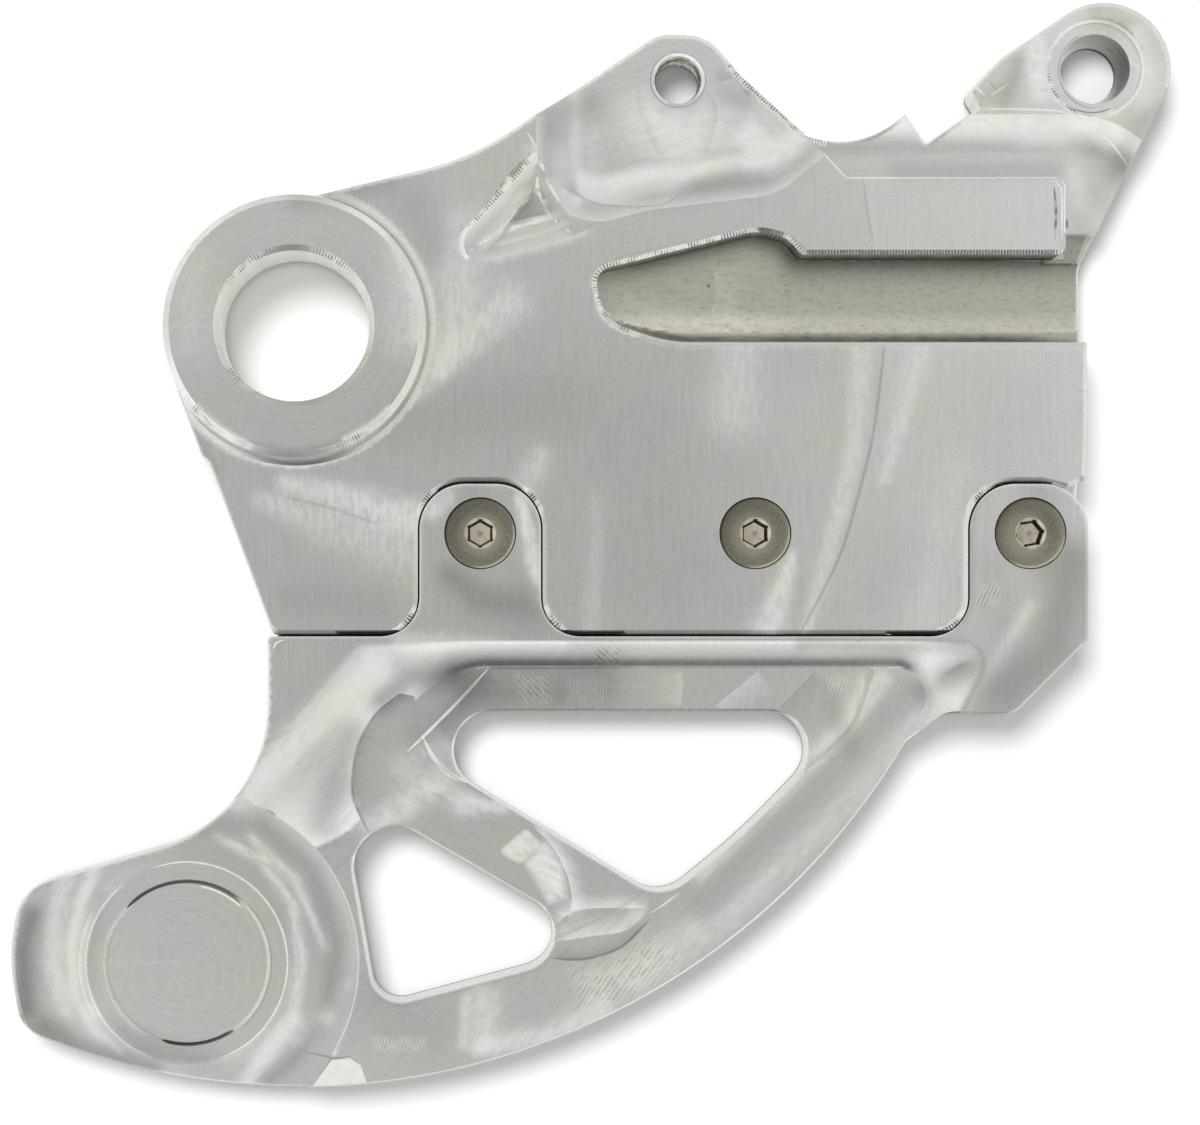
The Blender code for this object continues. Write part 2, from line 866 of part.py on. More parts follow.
def pad_swale():
    """The dished band between the pad's disc and its edge."""
    half = (PAD_RADIUS - PAD_DISC_RADIUS) / 2.0
    middle = PAD_DISC_RADIUS + half
    bend = (half**2 + PAD_SWALE_DEPTH**2) / (2.0 * PAD_SWALE_DEPTH)
    widest = math.asin(half / bend)
    profile = []
    for i in range(7):
        tilt = widest * (i / 3.0 - 1.0)
        profile.append(
            (
                middle + bend * math.sin(tilt),
                PAD_THICKNESS - PAD_SWALE_DEPTH + bend * (1.0 - math.cos(tilt)),
            )
        )
    profile.append((middle + half, PAD_THICKNESS + PAST))
    profile.append((middle - half, PAD_THICKNESS + PAST))
    return turned_band("pad_swale", PAD_CENTRE, profile)


def disc_guard():
    """The fin that hangs over the disc, carried by two tabs and a tongue."""
    made = slab("disc_guard", guard_ring(), 0.0, PLATE_THICKNESS, EDGE_BREAK)
    for cutter in under_tabs():
        cut(made, cutter)
    join(made, slab("tongue", tongue_ring(0.0), 0.0, TONGUE_THICKNESS))
    cut(made, rim_relief())
    cut(made, bar_relief())
    cut(made, web_relief())
    cut(made, pad_relief())
    cut(made, pad_swale())
    windows = (("upper_window", upper_window()), ("lower_window", lower_window()))
    for name, ring in windows:
        cut(made, slab(name, ring, -PAST, PLATE_THICKNESS + PAST))
    for i, x in enumerate(SCREW_XS):
        cut(made, screw_clearance(f"guard_screw_hole_{i + 1}", x, -PAST))
    return made


# Screws

def screw(name, turn):
    """A countersunk socket screw, modelled about its own axis with its face at its top."""
    thread = SCREW_THREAD / 2.0
    head = SCREW_HEAD / 2.0
    made = turned(
        name,
        (0.0, 0.0),
        [
            (thread - SCREW_END_CHAMFER, -SCREW_LENGTH),
            (thread, SCREW_END_CHAMFER - SCREW_LENGTH),
            (thread, -SCREW_HEAD_LAND - (head - thread)),
            (head, -SCREW_HEAD_LAND),
            (head, 0.0),
        ],
    )
    corner = SOCKET_ACROSS_FLATS / math.sqrt(3.0)
    hexagon = [
        (
            corner * math.cos(turn + math.pi * i / 3.0),
            corner * math.sin(turn + math.pi * i / 3.0),
        )
        for i in range(6)
    ]
    point = [(SOCKET_TIP * x, SOCKET_TIP * y) for x, y in hexagon]
    socket = loft(
        f"{name}_socket",
        [
            (point, -SOCKET_DEPTH - SOCKET_POINT),
            (hexagon, -SOCKET_DEPTH),
            (hexagon, PAST),
        ],
    )
    cut(made, socket)
    return made, socket


# Materials and placing

def metal(name, colour, roughness):
    """A Principled metal of one colour."""
    made = bpy.data.materials.new(name)
    made.use_nodes = True
    shader = made.node_tree.nodes["Principled BSDF"]
    shader.inputs["Base Color"].default_value = (*colour, 1.0)
    shader.inputs["Metallic"].default_value = 1.0
    shader.inputs["Roughness"].default_value = roughness
    made.diffuse_color = (*colour, 1.0)
    return made


def empty(name, location, parent=None):
    """An empty that carries other objects."""
    made = bpy.data.objects.new(name, None)
    made.empty_display_size = 10.0 * MM
    made.location = location
    made.parent = parent
    bpy.context.collection.objects.link(made)
    return made


def plan_centre():
    """The middle of the whole part's plan, from the axle's axis."""
    boss_radius = BOSS_DIAMETER / 2.0
    boss_ring = circle((0.0, 0.0), boss_radius, arc_steps(boss_radius, 2.0 * math.pi))
    points = carrier_ring() + guard_ring() + boss_ring
    xs = [x for x, y in points]
    ys = [y for x, y in points]
    return (min(xs) + max(xs)) / 2.0, (min(ys) + max(ys)) / 2.0


def build():
    for old in list(bpy.data.objects):
        bpy.data.objects.remove(old, do_unlink=True)

    middle_x, middle_y = plan_centre()
    axle_axis = empty("axle_axis", (-middle_x * MM, -middle_y * MM, 0.0))

    carrier_metal = metal("milled_aluminium_carrier", ALUMINIUM, 0.35)
    guard_metal = metal("milled_aluminium_guard", ALUMINIUM_GUARD, 0.30)
    screw_metal = metal("stainless_screw", STAINLESS, 0.35)

    plate = carrier()
    plate.data.materials.append(carrier_metal)
    fin = disc_guard()
    fin.data.materials.append(guard_metal)

    face = PLATE_THICKNESS - SCREW_SUNK
    for i, (x, turn) in enumerate(zip(SCREW_XS, (30.0, 30.0, 10.0))):
        made, socket = screw(f"guard_screw_{i + 1}", math.radians(turn))
        made.data.materials.append(screw_metal)
        for piece in (made, socket):
            piece.location = (x * MM, SCREW_Y * MM, face * MM)

    for made in bpy.context.collection.objects:
        if made is not axle_axis:
            made.parent = axle_axis


build()
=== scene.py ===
import math

import bmesh
import bpy
import numpy as np
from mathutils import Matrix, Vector
from mathutils.geometry import delaunay_2d_cdt
from mathutils.kdtree import KDTree


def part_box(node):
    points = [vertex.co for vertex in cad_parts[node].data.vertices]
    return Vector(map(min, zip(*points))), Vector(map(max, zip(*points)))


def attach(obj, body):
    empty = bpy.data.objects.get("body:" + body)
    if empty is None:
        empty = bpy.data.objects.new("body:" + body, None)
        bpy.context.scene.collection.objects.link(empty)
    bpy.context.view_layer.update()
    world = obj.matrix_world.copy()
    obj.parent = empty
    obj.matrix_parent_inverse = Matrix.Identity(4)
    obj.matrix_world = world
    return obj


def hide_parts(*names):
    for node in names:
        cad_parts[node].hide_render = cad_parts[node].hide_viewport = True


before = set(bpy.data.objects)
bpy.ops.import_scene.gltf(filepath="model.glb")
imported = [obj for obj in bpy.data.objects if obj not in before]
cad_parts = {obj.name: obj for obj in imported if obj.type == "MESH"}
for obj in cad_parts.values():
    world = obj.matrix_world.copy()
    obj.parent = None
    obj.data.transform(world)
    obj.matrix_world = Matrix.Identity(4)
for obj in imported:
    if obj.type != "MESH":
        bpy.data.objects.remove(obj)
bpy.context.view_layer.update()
mm = 0.001

# plan sizes are millimetres from the axle's axis, heights are millimetres above the back
screws = {
    "firstX": 31.1,
    "pitch": 46.25,
    "y": -34.5,
    "turns": (30.0, 30.0, 10.0),
    "headRadius": 5.95,
    "threadRadius": 3.0,
    "length": 10.0,
    "faceHeight": 11.9,
    "land": 0.3,
    "acrossFlats": 4.0,
    "socketDepth": 2.3,
    "sinkRadius": 6.05,
    "sinkTop": 11.6,
    "hole": 3.3,
    "mouth": 2.75,
}
low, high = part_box("guard_screw_2")
axleAt = np.array([
    (low[0] + high[0]) / 2 / mm - screws["firstX"] - screws["pitch"],
    (low[1] + high[1]) / 2 / mm - screws["y"],
])
screwXs = [screws["firstX"] + screws["pitch"] * i for i in range(3)]
photoScale = 5.9  # pixels of the photograph in a millimetre, near the plates' faces
axle = (0, 0)  # the origin of the plan
view = {
    "height": 513.0,
    "nadir": (27.7, -55.3),
    "focal": 2981.0,
    "nadirPixel": (460.0, 657.0),
    "frame": (1200.0, 1125.0),
}


def seen(x, y, height=12.0):  # where in the plan a pixel of the photograph lies, at a height
    scale = view["focal"] / (view["height"] - height)
    (left, top), (atX, atY) = view["nadirPixel"], view["nadir"]
    return (x - left) / scale + atX, (top - y) / scale + atY




def inScene(x, y, height):  # a place in the plan, in the frame
    return (x + axleAt[0]) * mm, (y + axleAt[1]) * mm, height * mm


def linked(name, data):
    piece = bpy.data.objects.new(name, data)
    bpy.context.collection.objects.link(piece)
    return piece


# plan outlines

ringStep = 0.7  # the longest side of a ring
gridStep = 0.6  # between the points that fill a plate
lightestTone = 1.22


def arc(centre, radius, start, end, steps=24):
    turns = np.radians(np.linspace(start, end, steps + 1))
    return [(centre[0] + radius * math.cos(t), centre[1] + radius * math.sin(t)) for t in turns]


def roundCorner(before, corner, after):
    x, y, *radius = corner
    if not radius:
        return [(x, y)]
    radius = radius[0]
    ahead = math.atan2(before[1] - y, before[0] - x)
    behind = math.atan2(after[1] - y, after[0] - x)
    opening = (behind - ahead + math.pi) % (2 * math.pi) - math.pi
    half = abs(opening) / 2
    middle = ahead + opening / 2
    reach = radius / math.sin(half)
    cx, cy = x + reach * math.cos(middle), y + reach * math.sin(middle)
    sweep = math.copysign(math.pi - 2 * half, opening)
    first = middle + math.pi + sweep / 2
    steps = max(3, math.ceil(abs(sweep) * math.sqrt(radius) / 0.35))
    return [
        (
            cx + radius * math.cos(first - sweep * i / steps),
            cy + radius * math.sin(first - sweep * i / steps),
        )
        for i in range(steps + 1)
    ]


def pointTree(points):
    tree = KDTree(len(points))
    for i, (x, y) in enumerate(points):
        tree.insert((x, y, 0), i)
    tree.balance()
    return tree


class Ring:  # a closed outline that can say what lies inside it and how far a point is from it
    def __init__(self, corners=None, points=None):
        if corners is not None:
            points = []
            for i, corner in enumerate(corners):
                points += roundCorner(corners[i - 1], corner, corners[(i + 1) % len(corners)])
        points = np.array(points, float)
        keep = np.linalg.norm(points - np.roll(points, 1, axis=0), axis=1) > 1e-4
        points = points[keep]
        nextPoints = np.roll(points, -1, axis=0)
        area = np.sum(points[:, 0] * nextPoints[:, 1] - nextPoints[:, 0] * points[:, 1])
        self.corners = points if area > 0 else points[::-1]
        fine = []
        for a, b in zip(self.corners, np.roll(self.corners, -1, axis=0)):
            pieces = max(1, math.ceil(np.linalg.norm(b - a) / ringStep))
            fine += [a + (b - a) * i / pieces for i in range(pieces)]
        self.points = np.array(fine)
        self.ends = np.roll(self.points, -1, axis=0)
        sides = np.linalg.norm(self.ends - self.points, axis=1)
        self.run = np.concatenate([[0.0], np.cumsum(sides)[:-1]])
        self.tree = None

    def inside(self, where):
        result = np.zeros(len(where), bool)
        lowest, highest = self.corners.min(0), self.corners.max(0)
        near = np.flatnonzero(((where >= lowest) & (where <= highest)).all(1))
        x, y = where[near, 0], where[near, 1]
        hit = np.zeros(len(near), bool)
        for (x0, y0), (x1, y1) in zip(self.corners, np.roll(self.corners, -1, axis=0)):
            if y0 != y1:
                hit ^= ((y0 > y) != (y1 > y)) & (x < (x1 - x0) * (y - y0) / (y1 - y0) + x0)
        result[near] = hit
        return result

    def nearest(self, where):  # distance to the outline, and how far along it the nearest point is
        if self.tree is None:
            self.tree = pointTree(self.points)
        index = np.array([self.tree.find((x, y, 0))[1] for x, y in where], int)
        best = np.full(len(where), 1e9)
        run = np.zeros(len(where))
        for shift in (-2, -1, 0, 1):
            i = (index + shift) % len(self.points)
            a, side = self.points[i], self.ends[i] - self.points[i]
            size = np.maximum((side**2).sum(1), 1e-12)
            t = np.clip(((where - a) * side).sum(1) / size, 0, 1)
            distance = np.linalg.norm(where - a - side * t[:, None], axis=1)
            closer = distance < best
            best[closer] = distance[closer]
            run[closer] = (self.run[i] + t * np.sqrt(size))[closer]
        return best, run

    def outwards(self, where):  # signed distance, negative inside
        distance = self.nearest(where)[0]
        return np.where(self.inside(where), -distance, distance)

    def grown(self, distance):
        before = self.corners - np.roll(self.corners, 1, axis=0)
        after = np.roll(self.corners, -1, axis=0) - self.corners
        into, out = np.arctan2(before[:, 1], before[:, 0]), np.arctan2(after[:, 1], after[:, 0])
        turn = (out - into + np.pi) % (2 * np.pi) - np.pi
        normal = into + turn / 2 - np.pi / 2
        reach = distance / np.cos(turn / 2)
        moved = self.corners + reach[:, None] * np.stack([np.cos(normal), np.sin(normal)], 1)
        return Ring(points=moved)


def circleRing(centre, radius):
    steps = max(24, int(2 * math.pi * radius / 0.5))
    return Ring(points=arc(centre, radius, 0, 360, steps)[:-1])


def seenRing(height, pixels, *radius):  # cornered in pixels of the photograph
    return Ring([(*seen(x, y, height), *radius) for x, y in pixels])


def fromCentre(where, centre):
    return np.linalg.norm(where - np.array(centre), axis=1)


# a milled plate: every cut is a ring with a height over the plan, and a tone that paints light or
# shade

class Cut:
    def __init__(
        self,
        ring,
        height,  # over the plan, or None for a mark that only paints light or shade on the finish
        # tone is a factor on the colour: above 1 a painted highlight, below 1 painted shade
        tone=1.0,
        lay=None,
        rough=0.0,
        stain=0.0,
        only=None,  # where in its ring the cut is made
        ticks=None,  # the ring that the cutter's chatter marks follow
        tickAmount=None,  # how strong they are over the plan, 0 to 1
        adds=False,  # raises the face instead of lowering it
        breaks=False,  # an edge break: height says how far down it goes from whatever is there
        owns=False,  # its painted tone and finish cover its whole ring, not only where it changes the height
    ):
        self.ring, self.height, self.tone, self.lay = ring, height, tone, lay
        self.rough, self.stain, self.only = rough, stain, only
        self.ticks, self.tickAmount = ticks, tickAmount or flat(1.0)
        self.adds, self.breaks, self.owns = adds, breaks, owns


def flat(height):
    return lambda where: np.full(len(where), float(height))


def northOf(ring, where):  # how far a ring's edge faces the back of the view, -1 to 1
    return (ring.outwards(where + (0, 0.05)) - ring.outwards(where - (0, 0.05))) / 0.1


def edgeBreak(
    ring, size, only=None, outside=False, steep=0.8, shallow=0.28, tone=1.05, ticked=False
):
    # a small chamfer along an edge, steep where it faces the front and shallow elsewhere; its tone
    # paints it lighter as a highlight or darker as shade
    sign = -1.0 if outside else 1.0

    def drop(p):
        north = sign * northOf(ring, p)
        slope = np.interp(north, (-0.7, -0.2), (steep, shallow))
        return slope * np.clip(size + sign * ring.outwards(p), 0, size)

    wide = ring.grown(size) if outside else ring
    return Cut(wide, drop, tone, only=only, ticks=ring if ticked else None, breaks=True)


def chamferOf(ring, top, width, slope=0.28):  # outside a ring, rising to the face around it
    def height(where):
        steep = slope(where) if callable(slope) else slope
        return top - steep * (width - np.clip(ring.outwards(where), 0, width))

    return height


def coveFrom(ring, floor, radius):  # flat inside the ring, rolling up outside it
    def height(where):
        away = np.clip(ring.outwards(where), 0, radius * 0.999)
        return floor + radius - np.sqrt(radius**2 - away**2)

    return height


# rolls over from the top ring's edge down to the floor ring
def shoulderBetween(topRing, floorRing, top, floor):
    steepest = math.radians(65.0)

    def height(where):
        fromTop = np.maximum(-topRing.outwards(where), 0)
        fromFloor = np.maximum(floorRing.outwards(where), 0)
        across = fromTop / np.maximum(fromTop + fromFloor, 1e-9)
        lean = np.arcsin(np.clip(across * math.sin(steepest), 0, 1))
        rolled = (1 - np.cos(lean)) / (1 - math.cos(steepest))
        ramped = np.clip((across - 0.06) / 0.94, 0, 1)
        return top + (floor - top) * (0.4 * rolled + 0.6 * ramped)

    return height


def layField(lay, where):
    kind, value = lay
    if kind == "line":
        turn = math.radians(value)
        along = where @ np.array([math.cos(turn), math.sin(turn)])
        across = where @ np.array([-math.sin(turn), math.cos(turn)])
        return across, along
    offset = where - np.array(value)
    return np.linalg.norm(offset, axis=1), np.arctan2(offset[:, 1], offset[:, 0]) * 20.0


# for each side of a path, the distance to it and the share of the path behind that point
def segments(where, path):
    for i, (a, b) in enumerate(zip(path, path[1:])):
        side = b - a
        t = np.clip((where - a) @ side / (side @ side), 0, 1)
        yield np.linalg.norm(where - a - t[:, None] * side, axis=1), (i + t) / (len(path) - 1)


# painted highlights and painted shade in soft strokes, each along a line of pixels
def sheen(where, lightStrokes, height):
    result = np.ones(len(where))
    for gain, width, *path in lightStrokes:
        first, last = width if isinstance(width, tuple) else (width, width)
        best = np.zeros(len(where))
        for away, share in segments(where, np.array([seen(x, y, height) for x, y in path])):
            reach = (first + (last - first) * share) / photoScale
            best = np.maximum(best, np.exp(-((away / reach) ** 2)))
        result *= 1 + gain * best
    return result


def patch(tone, height, *corners):  # a crisp patch painted lighter or darker by its tone
    return Cut(seenRing(height, corners), None, tone)


def smoothPath(pixels, height):  # a curve through pixels of the photograph
    knots = np.array([seen(x, y, height) for x, y in pixels])
    if len(knots) == 2:
        return knots[0] + (knots[1] - knots[0]) * np.linspace(0, 1, 12)[:, None]
    padded = np.vstack([2 * knots[0] - knots[1], knots, 2 * knots[-1] - knots[-2]])
    result = []
    for a, b, c, d in zip(padded, padded[1:], padded[2:], padded[3:]):
        second, third = 2 * a - 5 * b + 4 * c - d, 3 * b - a - 3 * c + d
        for t in np.arange(0, 1, 1 / max(2, round(np.linalg.norm(c - b) / 1.2))):
            result.append(0.5 * (2 * b + (c - a) * t + second * t**2 + third * t**3))
    return np.array([*result, knots[-1]])


def normalsOf(path):
    along = np.gradient(path, axis=0)
    along /= np.linalg.norm(along, axis=1)[:, None]
    return np.stack([-along[:, 1], along[:, 0]], 1)


# distance to an open path, and the share of it that lies behind the nearest point
def alongPath(where, path):
    best, share = np.full(len(where), 1e9), np.zeros(len(where))
    for away, behind in segments(where, path):
        closer = away < best
        best[closer], share[closer] = away[closer], behind[closer]
    return best, share


def crease(gain, reach, height, *pixels):  # a painted highlight, or painted shade for a negative gain, crisp along its path and fading out on one side of it
    path = smoothPath(pixels, height)
    width = abs(reach) / photoScale
    outer = path + normalsOf(path) * math.copysign(width, reach)

    def tone(where):
        away, share = alongPath(where, path)
        taper = np.clip(np.minimum(share, 1 - share) * 8.0, 0, 1)
        return 1 + gain * np.clip(1 - away / width, 0, 1) ** 1.4 * taper

    return Cut(Ring(points=[*path, *outer[::-1]]), None, tone=tone)


def scribe(tone, width, height, *pixels, ticks=False):  # a thin painted line, a highlight above tone 1 and shade below, that tapers out at its ends
    path = smoothPath(pixels, height)
    taper = np.sqrt(
        np.clip(np.minimum(np.arange(len(path)), np.arange(len(path))[::-1]) / 3.0, 0.02, 1)
    )
    half = normalsOf(path) * (width / photoScale / 2 * taper)[:, None]
    ring = Ring(points=[*(path + half), *(path - half)[::-1]])
    return Cut(ring, None, tone=tone, ticks=ring if ticks else None)


def lobe(gain, feather, height, *corners):  # a soft-edged patch painted lighter or darker by its gain
    ring = seenRing(height, corners, 1.0)
    return Cut(ring, None, tone=lambda p: 1 + gain * np.clip(-ring.outwards(p) / feather, 0, 1))


def scallops(gain, pitchRing, height, *corners):  # overlapping cutter marks inside some corners, with a painted sheen over them
    ring = seenRing(height, corners, 1.0)
    middle = ring.corners.mean(0)
    size = np.linalg.norm(ring.corners - middle, axis=1).mean()

    def amount(where):
        return np.clip(-ring.outwards(where) / (size * 0.35), 0, 1) * gain

    return Cut(ring, None, tone=lambda p: 1 + 0.2 * amount(p), ticks=pitchRing, tickAmount=amount)


def planMesh(rings, lines, domain):  # triangles over the plan that follow every ring and line
    points, edges = [], []
    for line in lines:
        steps = max(2, round(np.linalg.norm(np.array(line[1]) - np.array(line[0])) / 0.5))
        edges += [(len(points) + i, len(points) + i + 1) for i in range(steps)]
        points += [tuple(p) for p in np.linspace(line[0], line[1], steps + 1)]
    for ring in rings:
        first = len(points)
        points += [tuple(p) for p in ring.points]
        edges += [(first + i, first + (i + 1) % len(ring.points)) for i in range(len(ring.points))]
    tree = pointTree(points)
    allPoints = np.array(points)
    lowest, highest = allPoints.min(0), allPoints.max(0)
    rows = np.arange(lowest[1], highest[1], gridStep * math.sqrt(3) / 2)
    columns = np.arange(lowest[0], highest[0], gridStep)
    grid = np.array([(x + (j % 2) * gridStep / 2, y) for j, y in enumerate(rows) for x in columns])
    grid = grid[domain(grid)]
    grid = np.array([(x, y) for x, y in grid if tree.find((x, y, 0))[2] > gridStep * 0.45])
    vectors = [Vector(p) for p in points] + [Vector(p) for p in grid]
    plan, _, faces, _, _, _ = delaunay_2d_cdt(vectors, edges, [], 0, 1e-5, False)
    plan = np.array([tuple(p) for p in plan])
    faces = np.array([f for f in faces if len(f) == 3])
    a, b, c = plan[faces[:, 0]], plan[faces[:, 1]], plan[faces[:, 2]]
    turn = (b - a)[:, 0] * (c - a)[:, 1] - (b - a)[:, 1] * (c - a)[:, 0]
    faces[turn < 0] = faces[turn < 0][:, ::-1]
    faces = faces[np.abs(turn) > 1e-9]
    middles = plan[faces].mean(1)
    keep = domain(middles)
    return plan, faces[keep], middles[keep]


def milledPlate(
    name, material, domain, rings, lines, cuts, unders, baseTop, baseBottom, lightStrokes, strokeHeight,
    walls,
):
    rings = [*rings, *(cut.ring for cut in cuts), *(under.ring for under in unders)]
    plan, faces, middles = planMesh(rings, lines, domain)

    def spread(function, used):  # a function's values at the points of the plan that are used
        values = np.zeros(len(plan))
        values[used] = function(plan[used])
        return values

    top, bottom = baseTop(plan, middles, faces), baseBottom(plan, middles, faces)
    tone = np.ones((len(faces), 3))
    rough, stain, run, tick = (np.zeros((len(faces), 3)) for _ in range(4))
    across, along = [v[faces] for v in layField(("line", 90), plan)]
    for cut in cuts:
        here = cut.ring.inside(middles)
        if cut.only is not None:
            here &= cut.only(middles)
        if not here.any():
            continue
        used = np.unique(faces[here])
        owned = np.flatnonzero(here)
        if cut.breaks:
            top[here] -= spread(cut.height, used)[faces[here]]
        elif cut.height is not None:
            old, new = top[here], spread(cut.height, used)[faces[here]]
            sign = 1 if cut.adds else -1
            mine = sign * new.mean(1) > sign * old.mean(1) + 1e-5
            top[here] = np.maximum(old, new) if cut.adds else np.minimum(old, new)
            owned = owned if cut.owns else owned[mine]
        corners = faces[owned]
        newTone = spread(cut.tone, used)[corners] if callable(cut.tone) else cut.tone
        if cut.height is None:
            tone[owned] *= newTone
        else:
            tone[owned], tick[owned] = newTone, 0.0
            rough[owned], stain[owned] = cut.rough, cut.stain
        if cut.lay:
            newAcross, newAlong = layField(cut.lay, plan)
            across[owned], along[owned] = newAcross[corners], newAlong[corners]
        if cut.ticks is not None:
            run[owned] = spread(lambda where, ring=cut.ticks: ring.nearest(where)[1], used)[corners]
            tick[owned] = spread(cut.tickAmount, used)[corners]
    paintedSheen = sheen(plan, lightStrokes, strokeHeight)[faces]
    # where the painted tone or painted sheen is lighter the face is also made matter, and very
    # light places are held back
    rough += np.maximum(tone - 1.0, 0) * 0.55 + np.maximum(paintedSheen - 1.0, 0) * 0.9
    tone = np.where(tone > 1, 1 + (tone - 1) * 0.6, tone)
    paintedSheen = np.where(paintedSheen > 1, 1 + (paintedSheen - 1) * 0.4, paintedSheen)
    tone = np.clip(tone * paintedSheen, 0, lightestTone)
    for under in unders:
        here = under.ring.inside(middles)
        level = spread(under.height, np.unique(faces[here]))
        bottom[here] = np.maximum(bottom[here], level[faces[here]])
    return buildSolid(
        name, plan, faces, top, bottom, material, (across, along, run), (tone, tick, rough, stain),
        walls,
    )


flattest = 19.0  # degrees between two faces that still shade as one


def buildSolid(name, plan, faces, top, bottom, material, layData, shadeAndFinishData, walls):
    ids = np.concatenate([faces.ravel(), faces.ravel()])
    heights = np.concatenate([top.ravel(), bottom.ravel()])
    # heights 0.0005 mm apart are one vertex
    keys = ids * 1_000_000 + np.round(heights * 2000).astype(np.int64)
    unique, firstAt, inverse = np.unique(keys, return_index=True, return_inverse=True)
    vertices = np.column_stack([plan[ids[firstAt]], heights[firstAt]])
    topFaces = inverse[: faces.size].reshape(-1, 3)
    bottomFaces = inverse[faces.size:].reshape(-1, 3)
    levels = {}
    for vertex, planId in enumerate(ids[firstAt]):
        levels.setdefault(int(planId), []).append((vertices[vertex, 2], vertex))
    for stack in levels.values():
        stack.sort()

    halves = {}
    for f, (i, j, k) in enumerate(faces.tolist()):
        halves[(i, j)], halves[(j, k)], halves[(k, i)] = (f, 0), (f, 1), (f, 2)
    sides = []

    def addWall(i, j, lowI, lowJ, highI, highJ):
        def climb(planId, start, end):
            return [v for z, v in levels[planId] if start - 1e-4 <= z <= end + 1e-4]

        up = climb(j, lowJ, highJ)
        down = climb(i, lowI, highI)[::-1]
        loop = up + down
        if len(set(loop)) > 2:
            sides.append(loop)

    for (i, j), (f, side) in halves.items():
        other = halves.get((j, i))
        near = (side, (side + 1) % 3)
        topI, topJ = top[f, near[0]], top[f, near[1]]
        botI, botJ = bottom[f, near[0]], bottom[f, near[1]]
        if other is None:
            addWall(i, j, botI, botJ, topI, topJ)
            continue
        g, back = other
        far = ((back + 1) % 3, back)
        overI, overJ = top[g, far[0]], top[g, far[1]]
        if topI + topJ > overI + overJ + 1e-3:
            addWall(i, j, min(overI, topI), min(overJ, topJ), topI, topJ)
        underI, underJ = bottom[g, far[0]], bottom[g, far[1]]
        if botI + botJ < underI + underJ - 1e-3:
            addWall(i, j, botI, botJ, max(underI, botI), max(underJ, botJ))

    allFaces = topFaces.tolist() + bottomFaces[:, ::-1].tolist() + sides
    mesh = bpy.data.meshes.new(name)
    placed = vertices.copy()
    placed[:, :2] += axleAt
    mesh.from_pydata((placed * mm).tolist(), [], allFaces)
    mesh.update()
    corners = len(mesh.loops)
    lay = np.zeros((corners, 3), np.float32)
    lay[: faces.size] = np.stack([d.ravel() for d in layData], 1)
    coords = np.array([mesh.vertices[l.vertex_index].co[:] for l in mesh.loops[faces.size:]]) / mm
    flatWhere = coords[:, :2] - axleAt
    lay[faces.size:, 0] = coords[:, 2]
    lay[faces.size:, 1] = lay[faces.size:, 2] = coords[:, 0] + coords[:, 1]
    mesh.attributes.new("lay", "FLOAT_VECTOR", "CORNER").data.foreach_set("vector", lay.ravel())
    plainWall = (1.0, 0.06, 0.20, -1.0)  # tone, ticks, roughness and stain; a stain of -1 marks a wall, whose foot the material paints dark as shade
    finish = np.tile(np.array(plainWall, np.float32), (corners, 1))
    finish[: faces.size] = np.stack([d.ravel() for d in shadeAndFinishData], 1)
    walls(flatWhere, coords[:, 2], finish[faces.size:])
    mesh.attributes.new("finish", "FLOAT_COLOR", "CORNER").data.foreach_set("color", finish.ravel())
    mesh.materials.append(material)
    mesh.shade_smooth()
    mesh.set_sharp_from_angle(angle=math.radians(flattest))
    print(name, len(mesh.vertices), "vertices", len(mesh.polygons), "faces")
    return linked(name, mesh)


# node graphs

class Value:  # one socket of a graph, so that maths reads as maths
    def __init__(self, graph, out):
        self.graph, self.out = graph, out

    def math(self, operation, *others):
        return self.graph.add(
            "ShaderNodeMath", {"operation": operation}, dict(enumerate((self, *others)))
        )

    def __add__(self, other):
        return self.math("ADD", other)

    def __sub__(self, other):
        return self.math("SUBTRACT", other)

    def __rsub__(self, other):
        return self.math("MULTIPLY", -1.0) + other

    def __mul__(self, other):
        return self.math("MULTIPLY", other)

    def __truediv__(self, other):
        return self.math("DIVIDE", other)

    __radd__ = __add__
    __rmul__ = __mul__

    def ramp(self, start, end, first=0.0, last=1.0, kind="LINEAR"):
        values = {
            "Value": self, "From Min": start, "From Max": end, "To Min": first, "To Max": last
        }
        return self.graph.add("ShaderNodeMapRange", {"interpolation_type": kind}, values)

    def step(self, start, end, first=0.0, last=1.0):  # a ramp that starts and ends smoothly
        return self.ramp(start, end, first, last, "SMOOTHSTEP")


class Graph:
    def __init__(self, tree):
        self.tree = tree

    def node(self, kind, settings=None, values=None):
        node = self.tree.nodes.new(kind)
        for key, value in (settings or {}).items():
            setattr(node, key, value)
        for key, value in (values or {}).items():
            self.plug(value, node.inputs[key])
        return node

    def add(self, kind, settings=None, values=None, out=0):
        return Value(self, self.node(kind, settings, values).outputs[out])

    def plug(self, value, socket):
        if isinstance(value, Value):
            self.tree.links.new(value.out, socket)
        else:
            socket.default_value = value

    def split(self, vector):
        return [
            Value(self, out)
            for out in self.node("ShaderNodeSeparateXYZ", None, {0: vector}).outputs
        ]

    def join(self, x=0.0, y=0.0, z=0.0):
        return self.add("ShaderNodeCombineXYZ", None, {0: x, 1: y, 2: z})

    def scaleColour(self, colour, amount):
        return self.add(
            "ShaderNodeVectorMath", {"operation": "SCALE"}, {0: colour, "Scale": amount}
        )


